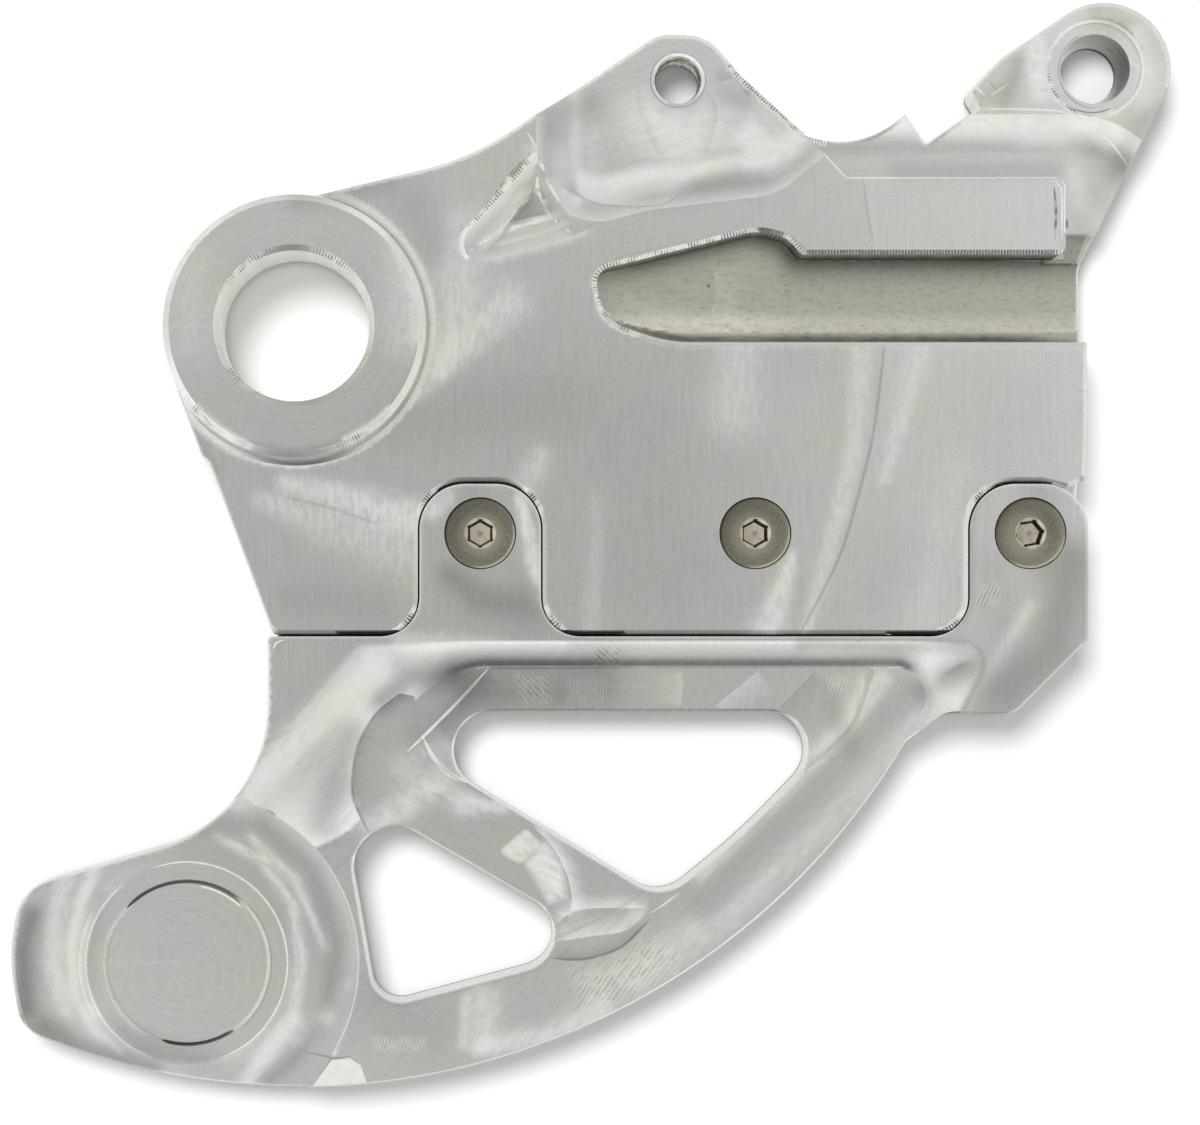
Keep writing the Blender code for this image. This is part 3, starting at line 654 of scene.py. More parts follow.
class Finish(Graph):  # a material
    def __init__(self, name, roughness, metallic=1.0):
        self.material = bpy.data.materials.new(name)
        self.material.use_nodes = True
        super().__init__(self.material.node_tree)
        self.shader = self.tree.nodes["Principled BSDF"]
        self.feed(Roughness=roughness, Metallic=metallic)

    def feed(self, **sockets):
        for name, value in sockets.items():
            self.plug(value, self.shader.inputs[name.replace("_", " ")])

    def attribute(self, name):  # three parts and the fourth, alpha
        node = self.node("ShaderNodeAttribute", {"attribute_name": name})
        return [*self.split(Value(self, node.outputs[1])), Value(self, node.outputs[3])]

    def place(self):  # object coordinates in millimetres from the axle's axis
        x, y, z = self.split(self.add("ShaderNodeTexCoord", out=3))
        return x * 1000.0 - axleAt[0], y * 1000.0 - axleAt[1], z * 1000.0

    def noise(self, vector, scale, detail=2.0, roughness=0.5):
        values = {"Vector": vector, "Scale": scale, "Detail": detail, "Roughness": roughness}
        return self.add("ShaderNodeTexNoise", None, values)

    def blendColour(self, factor, first, second):
        colours = {0: factor, 6: first, 7: second}
        return self.add("ShaderNodeMix", {"data_type": "RGBA"}, colours, out=2)

    def bump(self, height, distance):
        return self.add(
            "ShaderNodeBump", None, {"Height": height, "Distance": distance * mm, "Strength": 1.0}
        )


milling = {
    "colour": (0.785, 0.79, 0.78),
    "warm": (0.785, 0.78, 0.725),
    "stain": (0.72, 0.71, 0.61),
    "roughness": 0.30,
    "linesPerMm": 5.0,
    "lineDepth": 0.0035,
    "tickPitch": 0.52,
    "tickDepth": 0.05,
}


def milledAluminium(name, settings):
    finish = Finish(name, settings["roughness"])
    across, along, run, _ = finish.attribute("lay")
    tone, tick, rough, stain = finish.attribute("finish")
    x, y, z = finish.place()
    lines = finish.noise(finish.join(across * settings["linesPerMm"], along * 0.12), 1.0, 3.0, 0.6)
    broad = finish.noise(finish.join(across * 0.8, along * 0.05), 1.0, 2.0)
    cloud = finish.noise(finish.join(x * 0.06, y * 0.06), 1.0, 3.0, 0.6)
    grit = finish.noise(finish.join(x * 3.0, y * 3.0, z * 3.0), 1.0, 2.0)
    wave = (run * (2 * math.pi / settings["tickPitch"])).math("SINE") * 0.5 + 0.5
    patchy = finish.noise(finish.join(x * 0.55, y * 0.55), 1.0, 2.0).step(0.38, 0.58)
    wave = 1.0 - (1.0 - wave) * (0.15 + 0.85 * patchy)
    mottle = finish.noise(finish.join(x * 0.9, y * 1.3, z), 1.0, 4.0, 0.65)
    height = lines * settings[
        "lineDepth"
    ] + broad * 0.010 + mottle * 0.006 + wave * tick * settings["tickDepth"]
    streak = finish.noise(finish.join(across * 1.1, along * 0.4, z), 1.0, 4.0, 0.65)
    speck = finish.noise(finish.join(x * 0.7, y * 1.5, z), 1.0, 6.0, 0.75)
    colour = finish.blendColour(
        cloud.step(0.40, 0.64), (*settings["colour"], 1.0), (*settings["warm"], 1.0)
    )
    # painted shade along the foot of each wall; a stain below zero marks a wall
    wallFootShade = (stain * -1.0).step(0.0, 1.0) * (1.0 - z.step(0.2, 1.8))
    stain = stain.math("MAXIMUM", 0.0)
    colour = finish.blendColour(stain * 0.9, colour, (*settings["stain"], 1.0))
    # tone carries the painted light and shade of the cuts and strokes; between chatter ticks the
    # colour is painted darker as their shade
    shade = tone * (0.93 + 0.06 * lines + 0.04 * broad)
    shade = shade * (1.0 - tick * (1.0 - wave) * 0.75) * (0.92 + 0.16 * grit)
    shade = shade * (0.94 + 0.12 * mottle) * (1.0 - (stain + 0.12) * speck.step(0.48, 0.74) * 0.30)
    shade = shade * (1.0 - 0.85 * wallFootShade)
    scuffed = rough * (0.45 + 1.1 * streak.step(0.30, 0.70))
    finish.feed(
        Base_Color=finish.scaleColour(colour, shade),
        Roughness=0.17 + 0.10 * lines + 0.05 * cloud + scuffed,
        Normal=finish.bump(height, 1.0),
    )
    return finish.material


carrierMetal = milledAluminium("carrierMetal", milling)
guardMetal = milledAluminium("guardMetal", {**milling, "roughness": 0.27})

# the carrier

carrier = {
    "plate": 12.0,
    "edge": 0.3,
    "seamEdge": 0.8,
    "earEdge": 0.8,
    "seamY": -51.55,
    "rightX": 133.3,
    "boss": 22.0,
    "bossTop": 16.0,
    "bossChamfer": 1.1,
    "foot": 1.9,
    "bore": 12.6,
    "boreChamfer": 0.9,
    "earAt": (64.6, 42.3),
    "earHole": 4.0,
    "threadTurns": 6.0,
    "threadRidge": 0.32,
    "earChamfer": 0.6,
    "ear": 9.0,
    "earRoll": 14.0,
    "earMouth": 7.1,
    "lug": 8.5,
    "lugAt": (136.7, 44.1),
    "pinAt": (135.3, 44.3),
    "pinBore": 5.9,
    "pinLip": 4.85,
    "pinLipTop": 1.5,
    "spotface": 7.8,
    "spotfaceDepth": 0.6,
    "spotEdge": 0.5,
    "scoopAt": (92.0, 48.1),
    "railTop": 25.4,
    "railBottom": 12.4,
    "railEnd": 129.5,
    "railCorner": 1.7,
    "shelf": 16.3,
    "pocketRim": 0.75,
    "groove": 5.0,
    "grooveBottom": -2.4,
    "grooveEdge": 0.75,
    "grooveFillet": 3.4,
    "channel": 7.0,
    "channelTop": 29.8,
    "channelEnd": 143.0,
    "channelRoll": 16.0,
    "tabTop": -26.2,
    "tabHalf": 10.2,
    "tabRoot": 6.6,
    "tabCorner": 7.6,
    "pocketFloor": 5.7,
    "pocketChamfer": 0.8,
    "tongueSpace": 6.0,
    "mouthX": 127.5,
    "seamBand": -50.5,
}


def tabSide(screwX, rootY):
    sideX = screwX - carrier["tabHalf"]
    return [(sideX, rootY, carrier["tabRoot"]), (sideX, carrier["tabTop"], carrier["tabCorner"])]


def mirrored(corners, x):
    return [(2 * x - cx, cy, radius) for cx, cy, radius in reversed(corners)]


def carrierOutline():
    c = carrier
    return Ring([
        (-20.3, -9.0), (0.0, 21.4), (29.6, 28.6, 45.0), (61.2, 49.9, 5.0), (69.3, 49.8, 7.5),
        (74.9, 43.3, 8.0), *arc(c["scoopAt"], 15.95, -114, -46), (106.8, 31.7, 0.6),
        (115.7, 37.7, 0.6), (114.0, 40.4, 1.2), (119.3, 46.0, 2.0),
        *arc(c["lugAt"], 11.3, 124, -26, 40), (c["rightX"] - 0.3, 10.9, 6.0),
        (c["rightX"] - 0.2, -17.0, 90.0), (c["rightX"] - 0.7, -29.5, 0.8),
        (c["rightX"], -31.0, 0.8), (c["rightX"], c["seamY"], 0.8), (-3.6, c["seamY"], 1.0),
        (-14.3, -22.8, 1.5), (-15.6, -21.6, 1.5),
    ])


def railStep():
    c = carrier
    return Ring([
        (85.9, 32.7), (92.7, c["railTop"]), (c["railEnd"], c["railTop"], c["railCorner"]),
        (c["railEnd"], c["shelf"]), (190.0, c["shelf"]), (190.0, 76.0), (85.9, 76.0),
    ])


def pocketRing(side):
    c = carrier
    below, root = -58.3, c["seamY"] - 0.45
    left, right = screwXs[0], screwXs[-1]
    reach = c["tabHalf"] + 2 * c["tabRoot"]
    if side == "left":
        return Ring([
            (left - reach, below), (left - reach, root), *tabSide(left, root),
            *mirrored(tabSide(left, root), left), (left + reach, root), (left + reach, below),
        ])
    mouth = c["rightX"] - 1.2
    return Ring([
        (right - reach, below), (right - reach, root), *tabSide(right, root),
        (c["rightX"] - c["tabCorner"], c["tabTop"], 5.0), (mouth - 2.2, c["tabTop"] - 1.1, 1.6),
        (mouth, c["tabTop"] + 0.2, 0.6), (c["rightX"] + 2.0, c["tabTop"] + 0.2),
        (c["rightX"] + 2.0, below),
    ])


def tongueRing(clearance):
    centre, half = screwXs[1], 17.3 + clearance
    top = -26.5 + clearance
    return Ring([
        (centre - half, -57.7), (centre + half, -57.7), (centre + half, top, 4.0 + clearance),
        (centre - half, top, 4.0 + clearance),
    ])


screwHoles = [circleRing((x, screws["y"]), screws["hole"]) for x in screwXs]


def sinkFor(x):  # the countersink of one screw
    at, radius = (x, screws["y"]), screws["sinkRadius"]

    def height(where):
        return np.minimum(screws["sinkTop"], screws["sinkTop"] - radius + fromCentre(where, at))

    # the countersink painted a little darker, as shade around the head
    return Cut(circleRing(at, radius), height, tone=0.8)


def slopedTriangle(rim, floor, top, bottom):  # planes from each side of a rim down to a small floor
    def height(where):
        result = np.full(len(where), float(bottom))
        for i in range(3):
            a, b = np.array(rim[i]), np.array(rim[(i + 1) % 3])
            side = (b - a) / np.linalg.norm(b - a)
            inward = np.array([-side[1], side[0]])
            middle = (np.array(floor[i]) + np.array(floor[(i + 1) % 3])) / 2
            if (middle - a) @ inward < 0:
                inward = -inward
            slope = (top - bottom) / ((middle - a) @ inward)
            result = np.maximum(result, top - slope * ((where - a) @ inward))
        return result

    return height


# 1 on the side of a centre that faces a direction, fading over some degrees
def facing(where, centre, towards, width):
    offset = where - np.array(centre)
    turn = np.degrees(np.arctan2(offset[:, 1], offset[:, 0])) - towards
    turn = (turn + 180) % 360 - 180
    return np.exp(-((turn / width) ** 2))


# sides of a centre, each with its angle, its width and how strong it is
def glints(centre, *sides):
    return lambda where: sum(
        facing(where, centre, angle, width) * gain for angle, width, gain in sides
    )


def pixelArc(centre, radius, start, end):  # pixels of the photograph on an arc
    turns = np.radians(np.linspace(start, end, 14))
    return [(centre[0] + radius * math.cos(t), centre[1] - radius * math.sin(t)) for t in turns]


# painted highlights and painted shade on the carrier's faces
carrierSheenStrokes = [
    (0.20, (16, 9), (618, 306), (700, 322), (1060, 327)),
    (0.05, 25, (192, 270), (192, 340)),
    (0.08, 22, (400, 240), (405, 340)),
    (0.12, (8, 30), (440, 372), (456, 310), (462, 236)),
    (0.13, (8, 22), (418, 398), (455, 356), (508, 302)),
    (-0.10, (30, 40), (400, 420), (560, 400)),
    (-0.14, 24, (412, 205), (424, 240)),
    (0.10, (10, 34), (262, 500), (330, 524), (405, 546)),
    (0.16, (8, 16), (284, 482), (340, 494), (412, 516)),
    (-0.08, 16, (290, 600), (380, 605)),
    (0.10, 14, (525, 490), (540, 455)),
    (0.10, (22, 30), (742, 340), (732, 410)),
    (0.02, 40, (800, 420), (820, 560)),
    (0.12, (12, 8), (862, 345), (856, 440), (838, 520), (806, 628)),
    (0.20, (5, 18), (792, 556), (778, 600), (768, 632)),
    (0.06, 10, (598, 500), (592, 628)),
    (-0.06, (60, 60), (1010, 400), (1010, 560)),
    (0.10, (14, 6), (920, 350), (885, 480)),
    (0.05, (20, 24), (960, 470), (935, 560), (920, 615)),
    (-0.06, 40, (880, 560), (850, 620)),
    (-0.05, 60, (640, 380), (660, 560)),
    (0.16, (8, 12), (1078, 168), (1098, 216)),
    (-0.14, 14, (1100, 190), (1090, 224)),
    (0.12, 30, (640, 120), (700, 140), (770, 128)),
    (0.22, 10, (590, 186), (630, 193), (672, 184)),
    (0.20, 10, (560, 184), (575, 204)),
    (-0.20, 16, (556, 128), (566, 110), (590, 104)),
    (-0.26, 9, (567, 100), (567, 150), (573, 188)),
    (0.07, 10, (591, 112), (592, 150), (596, 172)),
    (-0.35, 5, *pixelArc((294, 326), 130, 250, 292)),
    (0.30, 8, (1040, 40), (1038, 62), (1043, 90)),
    (-0.22, 9, (1022, 58), (1016, 80), (1008, 98)),
    (-0.16, 12, (1100, 12), (1130, 22), (1152, 48)),
    (-0.20, 14, (1122, 168), (1140, 132), (1158, 105)),
    (-0.12, 14, (640, 198), (700, 190), (760, 176)),
    (-0.10, 16, (720, 168), (800, 164)),
    (-0.22, 14, (300, 200), (345, 193), (384, 180)),
    (-0.12, 10, (192, 428), (215, 470)),
    (0.20, 8, (752, 154), (792, 146)),
    (-0.14, 10, (724, 92), (745, 96)),
    (-0.15, 9, (700, 182), (740, 172)),
    (0.26, 9, (1040, 40), (1043, 62), (1050, 88)),
    (0.14, 12, (1106, 130), (1116, 146)),
    (0.12, 12, (930, 120), (1060, 121)),
    (0.50, 4, *pixelArc((294, 326), 129, 222, 250)),
    (0.50, 4, *pixelArc((294, 326), 129, -66, -42)),
    (0.16, 8, (400, 250), (418, 300), (420, 340)),
    (-0.12, 9, (990, 92), (1006, 84)),
    (0.26, 11, (1140, 34), (1153, 62), (1150, 96)),
    (0.10, 10, (1040, 30), (1090, 14)),
    (0.10, 12, (1034, 130), (1066, 132)),
    (-0.16, 12, (905, 168), (1060, 166)),
    (-0.14, 12, (1100, 150), (1120, 168)),
]


# painted highlights and painted shade on the carrier, with a few lines of chatter ticks
def carrierPaintedMarks():
    arcLine = ((884, 345), (880, 385), (872, 440), (857, 500), (838, 560), (800, 634))
    earRoot = ((570, 187), (593, 202), (630, 207), (663, 205), (680, 193))
    return [
        patch(1.04, 12, *[(x + 2, y) for x, y in arcLine], (1100, 634), (1100, 345)),
        scribe(0.80, 3.0, 12, *arcLine),
        scribe(0.86, 3.0, 12, (286, 497), (330, 508), (378, 524)),
        patch(1.04, 12, (864, 176), (874, 252), (1058, 255), (1058, 180)),
        scribe(0.85, 1.6, 12, (863, 178), (868, 215), (875, 250)),
        crease(0.10, -30, 9, (635, 87), (637, 103), (643, 123), (653, 147), (667, 160)),
        crease(0.10, 26, 9, (705, 87), (717, 107), (715, 130), (707, 153)),
        scribe(0.84, 2.5, 10, *earRoot),
        crease(0.22, 12, 10, *earRoot),
        crease(0.24, 20, 11, (552, 214), (542, 196), (538, 170), (537, 140)),
        crease(0.30, -16, 11, (560, 186), (568, 190), (584, 200)),
        patch(0.72, 9, (507, 223), (533, 190), (551, 213), (530, 217)),
        crease(0.80, 14, 10, (482, 252), (508, 222), (534, 186)),
        crease(-0.22, -12, 10, (484, 254), (510, 224), (536, 188)),
        crease(0.40, 8, 10, (504, 234), (530, 224), (560, 217)),
        crease(0.40, 8, 10, (492, 248), (530, 238), (570, 225)),
        crease(0.20, -10, 10, (480, 262), (552, 244), (596, 228)),
        scribe(1.9, 5.0, 12, (495, 193), (507, 179), (519, 166), (530, 153), ticks=True),
        scribe(2.2, 3.5, 12, (527, 133), (533, 141), (535, 150)),
        crease(0.14, 26, 9, (797, 143), (783, 160), (760, 166)),
        lobe(
            0.16, 2.0, 9, (636, 70), (640, 120), (664, 168), (702, 160), (716, 120), (712, 84),
            (690, 108), (664, 106),
        ),
        lobe(0.20, 2.0, 9, (724, 140), (750, 108), (784, 146), (752, 162)),
        crease(-0.20, 20, 9, (717, 84), (735, 79), (748, 100)),
        crease(0.16, 40, 5, (712, 268), (716, 290), (710, 318)),
        scribe(0.5, 3.0, 5, (707, 285), (710, 287)),
        scribe(0.78, 3.0, 12, (1054, 186), (1056, 212), (1055, 240), ticks=True),
        scribe(1.9, 2.6, 8, *pixelArc((1092, 70), 45, 238, 300)),
        scribe(0.5, 1.4, 8, *pixelArc((1092, 70), 42.5, 244, 296)),
        patch(
            0.68, 8, (1043, 257), (1067, 257), (1067, 233), (1090, 233), (1078, 264), (1043, 264)
        ),
        scribe(2.0, 3.0, 12, (207, 462), (212, 470)),
        scribe(2.2, 4.0, 12, (270, 624), (275, 632)),
        *[
            scribe(0.72, 1.4, 9, *pixelArc((678, 80), 27.5, start, start + 100))
            for start in (0, 90, 180, 270)
        ],
        *[
            scribe(1.8, 1.8, 9, *pixelArc((678, 80), 25, start, start + 60))
            for start in (100, 190, 320)
        ],
        scribe(0.70, 1.4, 8, *pixelArc((1097, 70), 38.5, 110, 270)),
        scribe(1.8, 2.0, 8, (1130, 60), (1140, 68)),
        scribe(1.5, 2.0, 12, (1052, 181), (1061, 188), (1062, 240)),
        scribe(0.45, 2.5, 8, (1068, 218), (1068, 228)),
        crease(0.20, 18, 8, (1130, 24), (1140, 60), (1136, 75)),
        scribe(1.4, 1.8, 8, (979, 109), (1060, 112), (1090, 126), (1112, 143), (1130, 166)),
        scribe(0.8, 2.0, 8, (989, 81), (996, 92)),
        scribe(1.4, 3.0, 8, (972, 84), (984, 96)),
        scribe(1.4, 2.0, 8, (990, 96), (1008, 84)),
        scribe(0.85, 2.0, 12, (1076, 392), (1082, 391)),
    ]


def buildCarrier():
    c = carrier
    plateRing = carrierOutline()
    inner = plateRing.grown(-c["edge"])
    bossRing, faceRing = circleRing(axle, c["boss"]), circleRing(axle, c["boss"] - c["bossChamfer"])
    footRing = circleRing(axle, c["boss"] + c["foot"])
    boreRing, boreRim = circleRing(axle, c["bore"]), circleRing(axle, c["bore"] + c["boreChamfer"])
    ofBoss = ("ring", axle)
    earHole = circleRing(c["earAt"], c["earHole"])
    earRim = circleRing(c["earAt"], c["earHole"] + c["earChamfer"])
    lipRing, pinRing = circleRing(c["pinAt"], c["pinLip"]), circleRing(c["pinAt"], c["pinBore"])
    spotRing = circleRing(c["pinAt"], c["spotface"])

    def domain(where):
        within = plateRing.inside(where) | bossRing.inside(where)
        for hole in (boreRing, earHole, lipRing, *screwHoles):
            within &= ~hole.inside(where)
        return within

    def baseTop(plan, middles, faces):
        result = np.full((len(faces), 3), -1.0)
        result[plateRing.inside(middles)] = c["plate"]
        return result

    def bossHeight(where):
        away = fromCentre(where, axle)
        return c["bossTop"] - np.maximum(0, away - (c["boss"] - c["bossChamfer"]))

    def footHeight(where):
        share = np.clip((fromCentre(where, axle) - c["boss"]) / c["foot"], 0, 1)
        return c["plate"] + np.interp(
            share, (0, 0.33, 0.6, 1), (c["bossTop"] - c["bossChamfer"] - c["plate"], 0.55, 0.14, 0)
        )

    def baseBottom(plan, middles, faces):
        inPlate = plateRing.inside(middles)
        away = fromCentre(plan, axle)
        bossEdge = np.maximum(0, away - (c["boss"] - c["edge"]))
        boreEdge = np.maximum(0, c["bore"] + c["boreChamfer"] - away)
        result = np.zeros((len(faces), 3))
        plateEdge = np.zeros(len(plan))
        ids = np.unique(faces[inPlate])
        plateEdge[ids] = np.maximum(0, c["edge"] + plateRing.outwards(plan[ids]))
        result[inPlate] = plateEdge[faces[inPlate]]
        inBoss = bossRing.inside(middles)
        both = inBoss & inPlate
        onlyBoss = inBoss & ~inPlate
        result[both] = np.minimum(result[both], bossEdge[faces[both]])
        result[onlyBoss] = bossEdge[faces[onlyBoss]]
        return np.maximum(result, boreEdge[faces])

    earFloor = Ring([
        (47.6, 24.0, 3.3), (58.0, 26.8, 12.0), (78.0, 29.2, 3.0), (84.0, 34.0, 3.0), (96.0, 64.0),
        (47.6, 64.0),
    ])
    earReach = math.sqrt(c["earRoll"] ** 2 - (c["earRoll"] - c["plate"] + c["ear"]) ** 2)
    earFloor = earFloor.grown(c["earMouth"] - earReach)
    step = railStep()
    startX, endX = 85.9 - c["channelRoll"], c["railEnd"] - c["channelRoll"] / 2
    channelFloor = Ring([
        (startX, c["railTop"] - c["channelRoll"]), (endX, c["railTop"] - c["channelRoll"]),
        (endX, c["shelf"] - c["channelRoll"]), (c["channelEnd"], c["shelf"] - c["channelRoll"]),
        (c["channelEnd"], c["channelTop"], 12.0), (startX, c["channelTop"]),
    ])
    channelReach = math.sqrt(
        c["channelRoll"] ** 2 - (c["channelRoll"] - c["lug"] + c["channel"]) ** 2
    )
    channelEdge = channelFloor.grown(channelReach)
    grooveRim = Ring([
        (50.3, 9.6, 2.6), (78.0, 16.5, 9.0), (82.6, 15.2, 3.0), (85.1, c["railBottom"], 1.0),
        (190.0, c["railBottom"]), (190.0, c["grooveBottom"]), (62.5, c["grooveBottom"], 24.0),
        (51.8, 1.4, 7.0),
    ])
    grooveWide = grooveRim.grown(c["grooveEdge"])
    grooveFlat = grooveRim.grown(-c["grooveFillet"])
    under = c["railBottom"] - c["edge"] / 2
    grooveEnd = Ring([
        (c["railEnd"] - 2.2, 10.0), (c["railEnd"] - 2.2, under),
        (c["railEnd"], under, c["railCorner"]), (c["railEnd"], c["shelf"]), (190.0, c["shelf"]),
        (190.0, 10.0),
    ])

    def grooveHeight(where):
        near = np.clip((4.0 - where[:, 1]) / 5.0, 0, 1)
        radius = 0.3 + (c["grooveFillet"] - 0.3) * near * near * (3 - 2 * near)
        inward = np.clip(-grooveRim.outwards(where), 0, radius)
        return c["groove"] + radius - np.sqrt(radius**2 - (radius - inward) ** 2)

    def grooveSlope(where):
        x, y = where[:, 0], where[:, 1]
        stops = (74.0, 77.0, 82.6, 83.2, 85.2, 86.0, 127.5, 128.5)
        slope = np.interp(x, stops, (0.28, 0.85, 0.85, 0.25, 0.25, 0.8, 0.8, 0.25))
        return np.where(y > 4.0, slope, np.where(x < 58.0, 0.28, 0.1))

    def grooveTicks(where):
        x, y = where[:, 0], where[:, 1]
        back = np.where(np.abs(x - 79.5) < 3.6, 0.25, 1.0)
        return np.where(y > 8.0, back, np.where(x < 56.0, 0.7, 0.0))

    # the groove's edge painted darker on its south side as shade and lighter at its ends as
    # highlights
    def grooveEdgeLightAndShade(where):
        x, y = where[:, 0], where[:, 1]
        return np.where(y < 2.5, 0.84, np.where((x < 78.0) | (x > 128.0), 1.5, 1.0))

    # painted shade under the rail and a painted glint along the south fillet, on a floor painted
    # darker
    def grooveTone(where):
        x, y = where[:, 0], where[:, 1]
        away = np.maximum(-grooveRim.outwards(where), 0)
        north = np.clip((y - 3.0) / 2.0, 0, 1) * np.clip((x - 53.0) / 5.0, 0, 1)
        under = np.clip((x - 76.0) / 10.0, 0, 1)  # the share of the rail's shade
        near, wide = np.exp(-away / 1.5), np.exp(-((away / 3.3) ** 1.4))
        shade = (1 - under) * 0.50 * near + under * 0.60 * wide
        glint = np.exp(-(((y - 1.2) / 1.6) ** 2)) * np.interp(x, (72.0, 86.0), (0.42, 0.14))
        return 0.80 * (1 - north * shade) * (1 + glint)

    # painted glints on the boss, and painted shade on its south side
    def bossGlintsAndShade(where):
        lights = glints(axle, (140, 25, 0.3), (222, 26, 0.5), (306, 24, 0.5), (20, 45, 0.35))(where)
        return 0.80 + lights - 0.25 * facing(where, axle, 268, 24)

    def boreTicks(where):
        left, right = facing(where, axle, 128, 22), facing(where, axle, 60, 18)
        return np.maximum(left, right) * 0.9 + facing(where, axle, 215, 25) * 0.7

    pocketRim = [(22.2, 8.6), (40.9, 29.4), (47.4, 15.3)]
    pocketFloor = [(33.3, 15.3), (40.4, 24.1), (43.1, 19.8)]
    pocketEdge = Ring([(*pocketRim[0], 3.1), (*pocketRim[1], 0.8), (*pocketRim[2], 1.2)])
    pocketWide = pocketEdge.grown(c["pocketRim"])

    cuts = [
        Cut(
            bossRing,
            bossHeight,
            adds=True,
            lay=ofBoss,
            tone=bossGlintsAndShade,
            owns=True,
            ticks=bossRing,
            tickAmount=glints(axle, (140, 22, 0.4), (222, 10, 0.7), (300, 12, 0.7)),
        ),
        Cut(faceRing, flat(c["bossTop"] + 1e-4), adds=True, lay=ofBoss),
        Cut(
            footRing,
            footHeight,
            adds=True,
            lay=ofBoss,
            # the boss's foot painted a little darker as shade
            tone=0.92,
            owns=True,
            only=lambda p: inner.inside(p) & (fromCentre(p, axle) > c["boss"]),
        ),
        Cut(
            boreRim,
            lambda p: c["bossTop"] + fromCentre(p, axle) - c["bore"] - c["boreChamfer"],
            lay=ofBoss,
            # the bore's chamfer painted lighter, with painted shade at its north and south
            tone=lambda p: 1.2 - glints(axle, (92, 30, 0.60), (285, 55, 0.35))(p),
            ticks=boreRing,
            tickAmount=boreTicks,
        ),
        Cut(
            step.grown(c["edge"]),
            lambda p: c["plate"] - 0.8 * c["edge"] + 0.8 * np.maximum(step.outwards(p), 0),
            only=lambda p: (p[:, 0] > 86.5) & ~grooveWide.inside(p),
            # the rail's step edge painted lighter as a highlight
            tone=1.15,
        ),
        Cut(step, flat(c["lug"]), lay=("line", 0)),
        Cut(
            channelEdge,
            coveFrom(channelFloor, c["channel"], c["channelRoll"]),
            lay=("line", 0),
            only=lambda p: step.inside(p),
        ),
        Cut(earFloor.grown(earReach), coveFrom(earFloor, c["ear"], c["earRoll"]), lay=("line", 20)),
        Cut(
            pocketWide,
            chamferOf(pocketEdge, c["plate"], c["pocketRim"]),
            # the pocket's rim chamfer painted lighter as a highlight
            tone=1.4,
            only=lambda p: (p[:, 0] - p[:, 1] < 17.5) & (p[:, 0] - p[:, 1] > 8.0),
            ticks=pocketEdge,
            tickAmount=lambda p: (p[:, 1] > 17.3) * (p[:, 1] < 28.4) * 1.0,
        ),
        Cut(
            pocketEdge,
            slopedTriangle(
                pocketRim, pocketFloor, c["plate"] - 0.28 * c["pocketRim"], c["ear"] - 0.5
            ),
            lay=("line", 52),
        ),
        Cut(
            grooveWide,
            chamferOf(grooveRim, c["plate"], c["grooveEdge"], grooveSlope),
            ticks=grooveRim,
            tickAmount=grooveTicks,
            tone=grooveEdgeLightAndShade,
        ),
        Cut(grooveRim, grooveHeight, lay=("line", 0), tone=grooveTone, rough=0.08, stain=1.0),
        # the groove's end painted darker, like the rest of its floor, as shade
        Cut(grooveEnd, flat(c["groove"]), lay=("line", 0), tone=0.84, rough=0.08, stain=1.0),
    ]

    # the corners of the tab pockets, which catch the light, with their sizes in pixels
    corners = (
        (427, 500, 12), (533, 498, 12), (406, 622, 14), (553, 620, 14), (981, 496, 13),
        (948, 622, 14),
    )

    def lit(where):
        away = [fromCentre(where, seen(x, y)) * 5.95 / size for x, y, size in corners]
        return np.max([np.exp(-(share**4)) for share in away], axis=0)

    def pocketSlope(wall):  # steeper where the chamfer faces the front
        def slope(where):
            lean = np.interp(northOf(wall, where), (0.3, 0.8), (0.12, 0.68))
            lean = lean * np.where(where[:, 1] < -46.0, 0.84, 1.0)
            return lean + (0.26 - lean) * lit(where)

        return slope

    for side in ("left", "right"):
        wall = pocketRing(side).grown(0.3)
        rim = wall.grown(c["pocketChamfer"])
        height = chamferOf(wall, c["plate"], c["pocketChamfer"], pocketSlope(wall))
        # the pocket's chamfer painted bright where its corners catch the light
        cuts.append(Cut(rim, height, tone=lambda p: 1.0 + 1.2 * lit(p), ticks=rim, tickAmount=lit))
        cuts.append(
            Cut(
                wall,
                flat(c["pocketFloor"]),
                lay=("line", 90),
                # the pocket's floor painted near black as the shade under the tab, lighter at the
                # mouth
                tone=lambda p: np.where(p[:, 0] > c["mouthX"], 0.9, 0.05),
            )
        )
    cuts += [
        Cut(
            earRim,
            lambda p: c["ear"] - 0.4 * (c["earChamfer"] - fromCentre(p, c["earAt"]) + c["earHole"]),
            lay=("ring", c["earAt"]),
        ),
        Cut(
            spotRing.grown(c["spotEdge"]),
            chamferOf(spotRing, c["lug"], c["spotEdge"]),
            # the spotface's edge painted lighter as a highlight
            tone=1.3,
            ticks=spotRing,
            tickAmount=lambda p: facing(p, c["pinAt"], 215, 55),
        ),
        Cut(spotRing, flat(c["lug"] - c["spotfaceDepth"]), lay=("ring", c["pinAt"])),
        Cut(pinRing, flat(c["pinLipTop"]), lay=("ring", c["pinAt"])),
        sinkFor(screwXs[1]),
    ]
    cuts += carrierPaintedMarks()
    seamInner = plateRing.grown(-c["seamEdge"])
    earInner = plateRing.grown(-c["earEdge"])
    earRight = seenRing(9, ((733, 60), (830, 140), (812, 160), (722, 76)))

    def plainEdge(p):
        elsewhere = inner.inside(p) | bossRing.inside(p) | earRight.inside(p)
        return ~elsewhere & (p[:, 1] > c["seamBand"])
